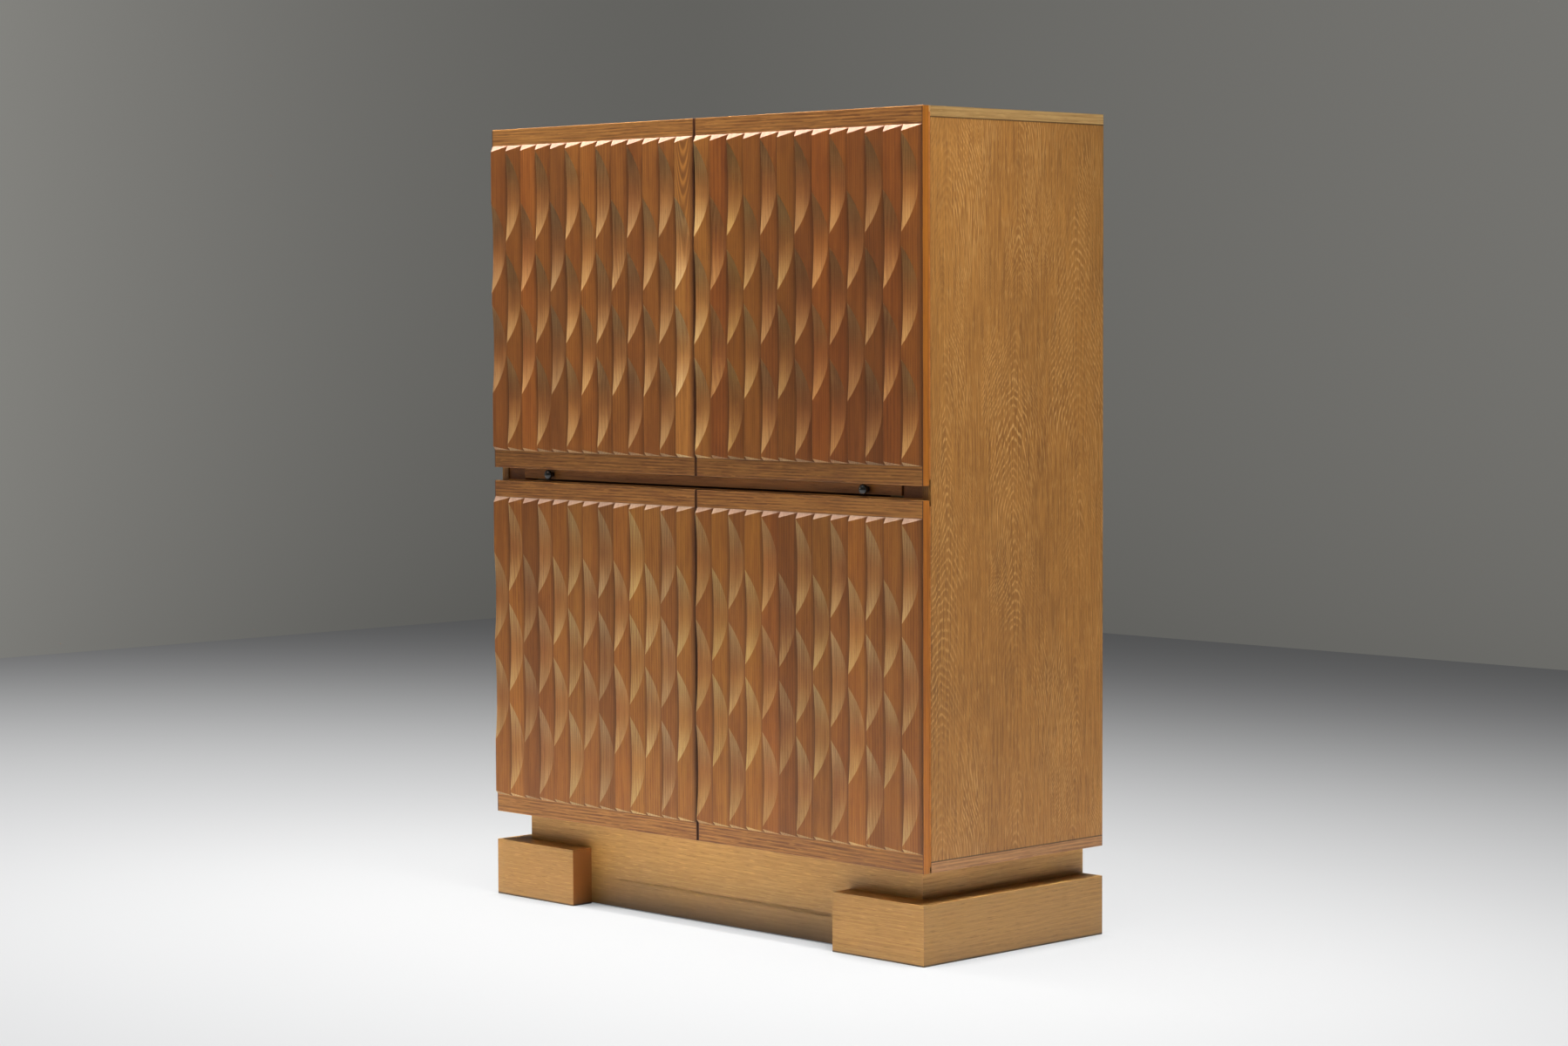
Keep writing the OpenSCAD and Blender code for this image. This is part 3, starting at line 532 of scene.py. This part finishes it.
CASE_FINISH = {
    "side_left": (case_side, 0.5), "side_right": (case_side, 0.5),
    "top_board": (case_board, 0.6), "bottom_board": (case_bottom, 0.6),
    "back_panel": (plywood, 0.3), "divider_upper": (divider_wood, 0.4), "divider_lower": (divider_wood, 0.4),
    "leaf_guide_left": (guide_wood, 0.4), "leaf_guide_right": (guide_wood, 0.4),
    "leaf_runners": (plain_wood, 0.3), "shelf_upper": (case_inner, 0.6), "shelf_lower": (case_inner, 0.6),
    "shelf_pins": (steel, 0), "magnetic_catches": (matt_black, 0.8),
    "plinth_front": (plinth_x, 0.6), "plinth_back": (plinth_x, 0.6),
    "plinth_left": (plinth_y, 0.6), "plinth_right": (plinth_y, 0.6), "corner_blocks": (plain_wood, 0.6),
    "foot_side_left": (foot_y, 0.9), "foot_side_right": (foot_y, 0.9),
    "foot_front_left": (foot_x, 0.9), "foot_front_right": (foot_x, 0.9),
    "hinge_plates_case": (bronze, 0), "hinge_pins": (bronze, 0), "hinge_screws_case": (bronze, 0),
    "back_screws": (steel, 0), "foot_screws": (steel, 0),
    "leaf_board": (leaf_wood, 0.7), "leaf_stops": (plain_wood, 0.5), "knob_studs": (steel, 0),
}
DOOR_FINISH = {
    "core": (core_wood, 0.4), "rails": (rail_wood, 0.6), "lippings": (edge_wood, 0.5),
    "hinge_plate": (bronze, 0), "hinge_screws": (bronze, 0), "strike": (steel, 0.2),
}
for node, (material, arris) in CASE_FINISH.items():
    dress(node, material, arris)
for door in DOORS:
    for part, (material, arris) in DOOR_FINISH.items():
        dress(f"{door}_{part}", material, arris)


# The carved staves, finer than their CAD solids and each with its own piece of wood

FACE_T = 6.0 * MM        # from a stave's back to the rails' plane
LOW_EDGE_H = 0.6 * MM    # how far its low edge stands above that plane
BEVEL_TOP = 10.5 * MM
BEVEL_BOTTOM = 6.5 * MM
SCOOP_LEN = 165 * MM
SCOOP_DEPTH = 4.2 * MM
STAVE_GAP = 0.3 * MM
STAVES = 13
SCOOPS = 3               # on every other stave; the staves between have one less
ROW = 5 * MM             # how far apart the rings of vertices lie in a scoop
RIDGE_ARRIS = 0.45 * MM
EDGE_ARRIS = 0.3 * MM
SMOOTH_ANGLE = math.radians(3)
WELD_STAVE = 0.002 * MM
CUT_LEAST = 0.001 * MM   # a stave's face counts as cut from this depth on
GRAIN_REACH = 2.0        # how far from each other's wood the staves' wood is taken
LIFTS, TURNS = (0.9, 1.1), (0.2, 1.2)  # how bright a stave is, and how its rings lie, in radians
RING_CLIMB = 0.012       # how steeply its rings climb at most
RANDOM_SEED = 7
TONES = ((1.00, 1.00, 1.00), (1.06, 0.98, 0.88), (0.93, 0.96, 1.00), (1.05, 1.05, 0.95), (0.98, 0.90, 0.80),
         (0.86, 0.83, 0.80), (1.02, 1.10, 1.04), (1.00, 1.03, 1.00))
OLIVE = (1.16, 1.36, 1.50)
ARCH_DEEP = 0.024  # how deep the arched figure's rings lie at a stave's top
ARCH_FADE = 0.13   # and how fast they open out below it
FIGURED_LIFT, OLIVE_LIFT = 1.25, 1.15
# each door's own tone together with painted light and shade: the lower doors lifted, the upper ones darkened, the
# upper right most
DOOR_TONE_AND_SHADE = {"door_upper_left": (0.93, 0.92, 0.71), "door_upper_right": (0.81, 0.75, 0.50),
             "door_lower_left": (1.08, 1.15, 0.97), "door_lower_right": (1.05, 1.10, 0.84)}
GOLDEN = (1.10, 1.18, 1.02)
GOLDEN_STAVES = {"door_upper_left": (), "door_upper_right": (2,), "door_lower_left": (9, 12),
                 "door_lower_right": (1, 3)}


class Profile:
    """The height of one stave's face above its back, along its length."""

    def __init__(self, length, thick, scoops):
        self.length = length
        self.top = thick
        self.low = FACE_T + LOW_EDGE_H
        self.ridge = thick - FACE_T
        self.radius = (SCOOP_LEN ** 2 / 4 + SCOOP_DEPTH ** 2) / (2 * SCOOP_DEPTH)
        first = 0.5 if scoops == SCOOPS else 1.0
        self.centres = [length * (first + i) / SCOOPS for i in range(scoops)]

    def cap(self, z):
        """The height that the bevels and scoops leave at z, whatever the saw-tooth allows."""
        ends = FACE_T + self.ridge * min(z / BEVEL_BOTTOM, (self.length - z) / BEVEL_TOP)
        hollow = min(self.top - SCOOP_DEPTH + self.radius - math.sqrt(self.radius ** 2 - (z - c) ** 2)
                     for c in self.centres)
        return min(self.top, ends, hollow)

    def cut_kind(self, z):
        """What cut the face at z."""
        if z > self.length - BEVEL_TOP:
            return CUT_BEVEL
        if z < BEVEL_BOTTOM:
            return CUT_ACROSS
        away = min(abs(z - c) for c in self.centres)
        return CUT_ALONG + away / SCOOP_LEN

    def rows(self):
        """Heights up the stave where a ring of vertices lies."""
        share = LOW_EDGE_H / self.ridge
        found = {0.0, BEVEL_BOTTOM * share, BEVEL_BOTTOM, self.length - BEVEL_TOP,
                 self.length - BEVEL_TOP * share, self.length}
        steps = round(SCOOP_LEN / ROW)
        for centre in self.centres:
            found |= {centre + SCOOP_LEN * (i / steps - 0.5) for i in range(steps + 1)}
        return sorted(found)


def stave_ring(profile, width, z):
    """The outline of a stave's section at height z, as (x, height) pairs, left to right."""
    cap = profile.cap(z)
    slope = (profile.top - profile.low) / width

    def height(x):
        return min(cap, profile.top - slope * x)
    edge = (profile.top - cap) / slope
    right = width - EDGE_ARRIS
    edge = min(max(edge, RIDGE_ARRIS), right)
    soft = RIDGE_ARRIS * 0.3
    return [(0, 0), (0, height(0) - RIDGE_ARRIS), (soft, height(soft) - soft), (RIDGE_ARRIS, height(RIDGE_ARRIS)),
            (edge, height(edge)), (right, height(right)), (width, height(right) - EDGE_ARRIS), (width, 0)]


def add_stave(bm, layers, origin, width, profile, tone, shift, turn, arch):
    """Adds one stave, whose back lower left corner is at origin.

    tone tints its wood. shift moves it through the wood. turn is how its rings lie. arch is how deep an
    arched figure is at its top, or 0.
    """
    rings = []
    heights = profile.rows()
    for z in heights:
        ring = []
        for x, h in stave_ring(profile, width, z):
            vert = bm.verts.new((origin.x + x, origin.y - h, origin.z + z))
            vert[layers["tone"]] = tone + (1.0,)
            vert[layers["grain_shift"]] = shift
            vert[layers["ring_turn"]] = turn
            vert[layers["arch"]] = arch * math.exp((z - profile.length) / ARCH_FADE)
            vert[layers["side"]] = x / width
            ring.append(vert)
        rings.append(ring)
    count = len(rings[0])
    for lower, upper, z0, z1 in zip(rings, rings[1:], heights, heights[1:]):
        middle = (z0 + z1) / 2
        cut = profile.cap(middle) < profile.top - CUT_LEAST
        for i in range(count):
            j = (i + 1) % count
            face = bm.faces.new((lower[i], lower[j], upper[j], upper[i]))
            if cut and i in (2, 3):
                face[layers["carved"]] = profile.cut_kind(middle)
    bm.faces.new(list(reversed(rings[0])))
    bm.faces.new(rings[-1])


def carve_door(door, rng):
    """Puts one field of carved staves in the place of a door's CAD staves."""
    low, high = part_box(f"{door}_staves")
    pitch = (high.x - low.x + STAVE_GAP) / STAVES
    width = pitch - STAVE_GAP
    length, thick = high.z - low.z, high.y - low.y
    left = door.endswith("left")
    bm = bmesh.new()
    layers = {
        "tone": bm.verts.layers.float_color.new("tone"),
        "grain_shift": bm.verts.layers.float_vector.new("grain_shift"),
        "ring_turn": bm.verts.layers.float_vector.new("ring_turn"),
        "arch": bm.verts.layers.float.new("arch"),
        "side": bm.verts.layers.float.new("side"),
        "carved": bm.faces.layers.float.new("carved"),
    }
    for i in range(STAVES):
        number = i + 1 + (0 if left else STAVES)
        scoops = SCOOPS if number % 2 == 0 else SCOOPS - 1
        profile = Profile(length, thick, scoops)
        tone = rng.choice(TONES)
        lift = rng.uniform(*LIFTS)
        arch = 0.0
        turn = rng.uniform(*TURNS)
        if "upper" in door and number in (STAVES, STAVES + 1):
            tone = OLIVE
            arch, lift = (ARCH_DEEP, FIGURED_LIFT) if left else (0.0, OLIVE_LIFT)
        elif i in GOLDEN_STAVES[door]:
            tone = GOLDEN
        # the tint also carries the door's painted light and shade
        tint = tuple(t * lift * part for t, part in zip(tone, DOOR_TONE_AND_SHADE[door]))
        shift = tuple(rng.uniform(-GRAIN_REACH, GRAIN_REACH) for _ in range(3))
        rings = (rng.uniform(-RING_CLIMB, RING_CLIMB), math.cos(turn), math.sin(turn))
        add_stave(bm, layers, Vector((low.x + i * pitch, high.y, low.z)), width, profile, tint, shift, rings, arch)
    bmesh.ops.remove_doubles(bm, verts=bm.verts, dist=WELD_STAVE)
    bmesh.ops.recalc_face_normals(bm, faces=bm.faces)
    for face in bm.faces:
        face.smooth = True
    for edge in bm.edges:
        edge.smooth = edge.calc_face_angle(math.pi) < SMOOTH_ANGLE
    mesh = bpy.data.meshes.new(f"{door}_staves_carved")
    bm.to_mesh(mesh)
    bm.free()
    piece = bpy.data.objects.new(mesh.name, mesh)
    bpy.context.scene.collection.objects.link(piece)
    mesh.materials.append(stave_wood)
    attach(piece, door)
    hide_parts(f"{door}_staves")


rng = random.Random(RANDOM_SEED)
for door in DOORS:
    carve_door(door, rng)


# The knobs, turned

# The knob's outline in millimetres, as (depth from its back, radius), from its neck over its widest part
# and a fine groove to the middle of its domed face
KNOB_OUTLINE = ((0.0, 4.5), (2.2, 4.2), (5.0, 4.3), (6.6, 5.2), (7.8, 7.6), (8.6, 8.6), (9.8, 9.0), (11.6, 9.0),
                (13.0, 8.5), (13.9, 7.5), (14.1, 7.1), (14.0, 6.7), (14.6, 6.3), (15.6, 5.0), (16.4, 3.4),
                (16.9, 1.6), (17.0, 0.0))
KNOB_DEPTH = KNOB_OUTLINE[-1][0]
KNOB_RADIUS = max(r for _, r in KNOB_OUTLINE)
KNOB_SIDES = 48


def turn_knob(bm, centre, back, face, radius):
    """A mushroom knob on an axis along Y, from its neck at back to its domed face."""
    reach = back - face
    turns = [2 * math.pi * k / KNOB_SIDES for k in range(KNOB_SIDES)]
    rings = []
    for depth, r in KNOB_OUTLINE[:-1]:
        y = back - reach * depth / KNOB_DEPTH
        r = r / KNOB_RADIUS * radius
        rings.append([bm.verts.new((centre.x + r * math.cos(a), y, centre.z + r * math.sin(a))) for a in turns])
    tip = bm.verts.new((centre.x, face, centre.z))
    beside = [(k, (k + 1) % KNOB_SIDES) for k in range(KNOB_SIDES)]
    for lower, upper in zip(rings, rings[1:]):
        for k, after in beside:
            bm.faces.new((lower[k], lower[after], upper[after], upper[k]))
    for k, after in beside:
        bm.faces.new((rings[-1][k], rings[-1][after], tip))
    bm.faces.new(list(reversed(rings[0])))


low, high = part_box("leaf_knobs")
knob_r = (high.z - low.z) / 2
bm = bmesh.new()
for x in (low.x + knob_r, high.x - knob_r):
    turn_knob(bm, Vector((x, 0, (low.z + high.z) / 2)), high.y, low.y, knob_r)
bmesh.ops.recalc_face_normals(bm, faces=bm.faces)
for face in bm.faces:
    face.smooth = True
mesh = bpy.data.meshes.new("leaf_knobs_turned")
bm.to_mesh(mesh)
bm.free()
mesh.materials.append(gloss_black)
knobs = bpy.data.objects.new("leaf_knobs_turned", mesh)
bpy.context.scene.collection.objects.link(knobs)
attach(knobs, "leaf")
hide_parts("leaf_knobs")


# Floor and walls

def studio_paint(name, bounce, tint, level, diffuse_share, contact=False):
    """Matt paint. Light bounces off it in the colour bounce. The camera sees tint times level.

    level is a function that turns the place into a brightness. A diffuse_share of it is lit by the lamps, so
    that the floor keeps the object's shadow, and contact adds the soft one close under the object.
    """
    g = Graph(name)
    tree = g.tree
    place = g.add("ShaderNodeTexCoord").outputs["Object"]
    cloud = g.noise(place, (0.8, 0.8, 0.8), 3.0)
    g.put(g.shader.inputs["Base Color"], g.mix(cloud, scaled(bounce, 0.98), scaled(bounce, 1.02)))
    g.shader.inputs["Roughness"].default_value = 0.8
    g.shader.inputs["Specular IOR Level"].default_value = 0.2
    bright = level(g, place)
    if contact:
        shelter = g.add("ShaderNodeAmbientOcclusion", samples=8)
        shelter.inputs["Distance"].default_value = CONTACT_REACH
        bright = g.times(bright, g.ramp(shelter.outputs["AO"], *CONTACT_RAMP))
    tone = g.vector("SCALE", g.mix(cloud, scaled(tint, 0.995), scaled(tint, 1.005)), bright)
    glow = g.add("ShaderNodeEmission")
    g.put(glow.inputs["Color"], tone)
    glow.inputs["Strength"].default_value = 1 - LAMP_SHARE * diffuse_share
    matt = g.add("ShaderNodeBsdfDiffuse")
    g.put(matt.inputs["Color"], g.vector("SCALE", tone, diffuse_share))
    seen = g.add("ShaderNodeAddShader")
    tree.links.new(glow.outputs[0], seen.inputs[0])
    tree.links.new(matt.outputs[0], seen.inputs[1])
    ray = g.add("ShaderNodeLightPath")
    by_camera = g.add("ShaderNodeMixShader")
    direct = g.math("MAXIMUM", ray.outputs["Is Camera Ray"], ray.outputs["Is Glossy Ray"])
    g.put(by_camera.inputs[0], g.math("MAXIMUM", direct, ray.outputs["Is Transmission Ray"]))
    tree.links.new(g.shader.outputs[0], by_camera.inputs[1])
    tree.links.new(seen.outputs[0], by_camera.inputs[2])
    clear = g.add("ShaderNodeBsdfTransparent")
    one_sided = g.add("ShaderNodeMixShader")
    g.put(one_sided.inputs[0], g.add("ShaderNodeNewGeometry").outputs["Backfacing"])
    tree.links.new(by_camera.outputs[0], one_sided.inputs[1])
    tree.links.new(clear.outputs[0], one_sided.inputs[2])
    output = next(n for n in tree.nodes if n.type == "OUTPUT_MATERIAL")
    tree.links.new(one_sided.outputs[0], output.inputs["Surface"])
    return g.material


def pool_level(g, place):
    """A pool of light on the floor in front of the object, which fades softly towards the walls."""
    x, y, _ = g.split(place)
    east = g.minus(x, POOL_X)
    north = g.times(g.minus(y, POOL_Y), POOL_STRETCH)
    away = g.math("SQRT", g.plus(g.times(east, east), g.times(north, north)))
    fall = g.math("POWER", g.math("DIVIDE", away, POOL_REACH), POOL_POWER)
    glow = g.math("EXPONENT", g.times(fall, -1.0))
    return g.plus(POOL_EDGE, g.times(glow, POOL_TOP - POOL_EDGE))


def wall_level(g, place):
    """Painted shade on the walls: they are darkest in their corner and near the floor."""
    x, y, z = g.split(place)
    east = g.times(g.minus(x, WALL_X), EAST_RISE)
    south = g.minus(WALL_Y, y)
    south = g.times(south, south, SOUTH_RISE)
    low = g.times(g.math("EXPONENT", g.times(z, -LOW_FADE)), LOW_DARK)
    rise = g.plus(g.math("MINIMUM", east, EAST_MOST), g.math("MINIMUM", south, SOUTH_MOST))
    return g.minus(g.plus(rise, CORNER_LEVEL), low)


def room(left, back, reach, height, cove, steps=8):
    """A pale floor with two walls, one at x = left and one at y = back, each on a small cove."""
    profile = [(cove - cove * math.sin(a), cove - cove * math.cos(a))
               for a in (math.pi / 2 * i / steps for i in range(steps + 1))] + [(0.0, height)]
    bm = bmesh.new()
    rings = []
    for inset, z in [(reach, 0.0)] + profile:
        x, y = left + inset, back - inset
        near = -reach
        rings.append([bm.verts.new(p) for p in ((x, near, z), (x, y, z), (reach, y, z))])
    corner = bm.verts.new((reach, -reach, 0.0))
    bm.faces.new((rings[0][0], corner, rings[0][2], rings[0][1]))
    for index, (ring, nxt) in enumerate(zip(rings, rings[1:])):
        for k in range(2):
            face = bm.faces.new((ring[k], ring[k + 1], nxt[k + 1], nxt[k]))
            face.material_index = 0 if index == 0 else 1
            face.smooth = index > 0
    bmesh.ops.recalc_face_normals(bm, faces=bm.faces)
    floor = next(f for f in bm.faces if f.material_index == 0)
    if floor.normal.z < 0:
        bmesh.ops.reverse_faces(bm, faces=bm.faces)
    mesh = bpy.data.meshes.new("studio")
    bm.to_mesh(mesh)
    bm.free()
    return mesh


WALL_X, WALL_Y = -5.25, 4.72
ROOM_REACH, WALL_HEIGHT, COVE = 9.0, 5.0, 0.03
POOL_X, POOL_Y, POOL_STRETCH, POOL_REACH, POOL_POWER = 0.25, -0.75, 1.5, 5.0, 2.5
POOL_TOP, POOL_EDGE = 0.89, 0.085
CORNER_LEVEL = 0.133                   # the walls' brightness in their corner, above the floor's shade
EAST_RISE, EAST_MOST = 0.0145, 0.075   # how it rises along the back wall
SOUTH_RISE, SOUTH_MOST = 0.0116, 0.12  # and along the left one
LOW_FADE, LOW_DARK = 1.5, 0.034        # how it falls near the floor
CONTACT_REACH = 0.10                    # how far above the floor a piece still shades it
CONTACT_RAMP = (0.15, 0.75, 0.25, 1.0)  # how open it is where it is darkest and where the shade ends, and how bright
LAMP_SHARE = 2.0                       # how bright the lamps make white paint near the object
FLOOR_BOUNCE, FLOOR_TINT = (0.81, 0.785, 0.75, 1.0), (0.985, 0.99, 1.0, 1.0)
WALL_BOUNCE, WALL_TINT = srgb(110, 109, 106), (1.0, 0.985, 0.915, 1.0)
studio = bpy.data.objects.new("studio", room(WALL_X, WALL_Y, ROOM_REACH, WALL_HEIGHT, COVE))
for paint in (studio_paint("studio_floor", FLOOR_BOUNCE, FLOOR_TINT, pool_level, 0.05, contact=True),
              studio_paint("studio_wall", WALL_BOUNCE, WALL_TINT, wall_level, 0.03)):
    studio.data.materials.append(paint)
bpy.context.scene.collection.objects.link(studio)


# Light

def lamp(name, place, target, size, energy, colour=(1, 1, 1), spread=180):
    """A rectangular lamp that points at target. energy is in watts, and spread in degrees."""
    data = bpy.data.lights.new(name, "AREA")
    data.shape = "RECTANGLE"
    data.size, data.size_y = size
    data.energy = energy
    data.color = colour
    data.spread = math.radians(spread)
    piece = bpy.data.objects.new(name, data)
    piece.location = place
    piece.rotation_euler = (Vector(target) - Vector(place)).to_track_quat("-Z", "Y").to_euler()
    piece.visible_camera = False
    bpy.context.scene.collection.objects.link(piece)
    return piece


WARM = (1.0, 0.97, 0.93)
STRIP_Z = 2.5
FRONT_Y, GRAZE_Y = -0.300, -0.296  # just in front of the staves' ridges
strips = [
    lamp("strip_front", (0.0, FRONT_Y, STRIP_Z), (0.0, FRONT_Y, 0.0), (2.4, 0.11), 41, WARM, 60),
    lamp("strip_right", (0.68, 0.1, 1.95), (0.66, 0.1, 0.0), (0.2, 1.6), 13, WARM, 80),
    lamp("strip_back", (0.0, 0.55, STRIP_Z), (0.0, 0.50, 0.0), (2.0, 0.4), 11, WARM, 80),
    lamp("strip_left", (-0.85, 0.0, STRIP_Z), (-0.80, 0.0, 0.0), (0.4, 1.4), 7, WARM, 80),
]
graze = lamp("strip_graze", (0.0, GRAZE_Y, STRIP_Z), (0.0, GRAZE_Y, 0.0), (2.4, 0.10), 24, WARM, 60)
lamp("sky", (-0.6, -0.8, 5.0), (-0.2, -0.6, 0.0), (5.0, 4.0), 112)

fill = lamp("fill", (0.4, -4.6, 1.3), (0.0, 0.0, 0.65), (3.0, 1.6), 17, WARM)
fill.visible_glossy = False

# The strips graze the upright faces. Level boards would face them squarely, so they are flagged off from
# them, as in a studio, and have two soft lamps of their own. The graze lamp lights the upper doors' staves
# and the case, and neither the floor, the lower doors, the rails nor the lippings.
board_lamps = [
    lamp("soft_front", (2.6, -2.6, 4.2), (0.0, 0.0, 1.4), (1.5, 1.5), 210, WARM),
    lamp("soft_back", (-2.6, 2.6, 4.2), (0.0, 0.0, 1.4), (1.5, 1.5), 80, WARM),
]
boards = [nodes[name] for name in ("top_board", "leaf_board", "divider_upper", "divider_lower", "shelf_upper",
                                   "shelf_lower")]
pieces = {piece.name: piece for piece in bpy.data.objects}
dimmed = [piece for name, piece in {**pieces, **nodes}.items()
          if name.startswith("door_lower") or name.endswith(("rails", "lippings"))]
for name, members, lamps, state in (("flagged_from_strips", boards, strips, "EXCLUDE"),
                                    ("flagged_from_graze", boards + [studio] + dimmed, [graze], "EXCLUDE"),
                                    ("boards_only", boards, board_lamps, "INCLUDE")):
    linked = bpy.data.collections.new(name)
    for member in dict.fromkeys(members):
        linked.objects.link(member)
    for item in linked.collection_objects:
        item.light_linking.link_state = state
    for source in lamps:
        source.light_linking.receiver_collection = linked

AIR_LIGHT = 0.03                       # lights the object
AIR_SEEN = (0.150, 0.148, 0.138, 1.0)  # the walls' grey, where a view looks past them
world = bpy.data.worlds.new("studio_air")
world.use_nodes = True
bpy.context.scene.world = world
tree = world.node_tree
background = tree.nodes["Background"]
background.inputs["Color"].default_value = (1.0, 1.0, 1.0, 1.0)
background.inputs["Strength"].default_value = AIR_LIGHT
seen = tree.nodes.new("ShaderNodeBackground")
seen.inputs["Color"].default_value = AIR_SEEN
ray = tree.nodes.new("ShaderNodeLightPath")
direct = tree.nodes.new("ShaderNodeMath")
direct.operation = "MAXIMUM"
blend = tree.nodes.new("ShaderNodeMixShader")
tree.links.new(ray.outputs["Is Camera Ray"], direct.inputs[0])
tree.links.new(ray.outputs["Is Glossy Ray"], direct.inputs[1])
tree.links.new(direct.outputs[0], blend.inputs[0])
tree.links.new(background.outputs[0], blend.inputs[1])
tree.links.new(seen.outputs[0], blend.inputs[2])
tree.links.new(blend.outputs[0], tree.nodes["World Output"].inputs["Surface"])


# Camera, solved from the cabinet's corners in the photograph

YAW, PITCH, ROLL = math.radians(45.64), math.radians(3.400), math.radians(-0.215)
EYE = Vector((4.638, -4.543, 1.0945))
LENS_MM, SENSOR_MM, SIGHT = 82.82, 36, 100
data = bpy.data.cameras.new("photo_camera")
data.sensor_width = SENSOR_MM
data.lens = LENS_MM
data.clip_end = SIGHT
camera = bpy.data.objects.new("photo_camera", data)
bpy.context.scene.collection.objects.link(camera)
forward = Vector((-math.sin(YAW) * math.cos(PITCH), math.cos(YAW) * math.cos(PITCH), -math.sin(PITCH)))
right = Vector((math.cos(YAW), math.sin(YAW), 0))
up = right.cross(forward)
turned_right = right * math.cos(ROLL) + up * math.sin(ROLL)
turned_up = up * math.cos(ROLL) - right * math.sin(ROLL)
camera.matrix_world = Matrix((
    (turned_right.x, turned_up.x, -forward.x, EYE.x),
    (turned_right.y, turned_up.y, -forward.y, EYE.y),
    (turned_right.z, turned_up.z, -forward.z, EYE.z),
    (0, 0, 0, 1)))
bpy.context.scene.camera = camera
bpy.context.scene.view_settings.view_transform = "Standard"
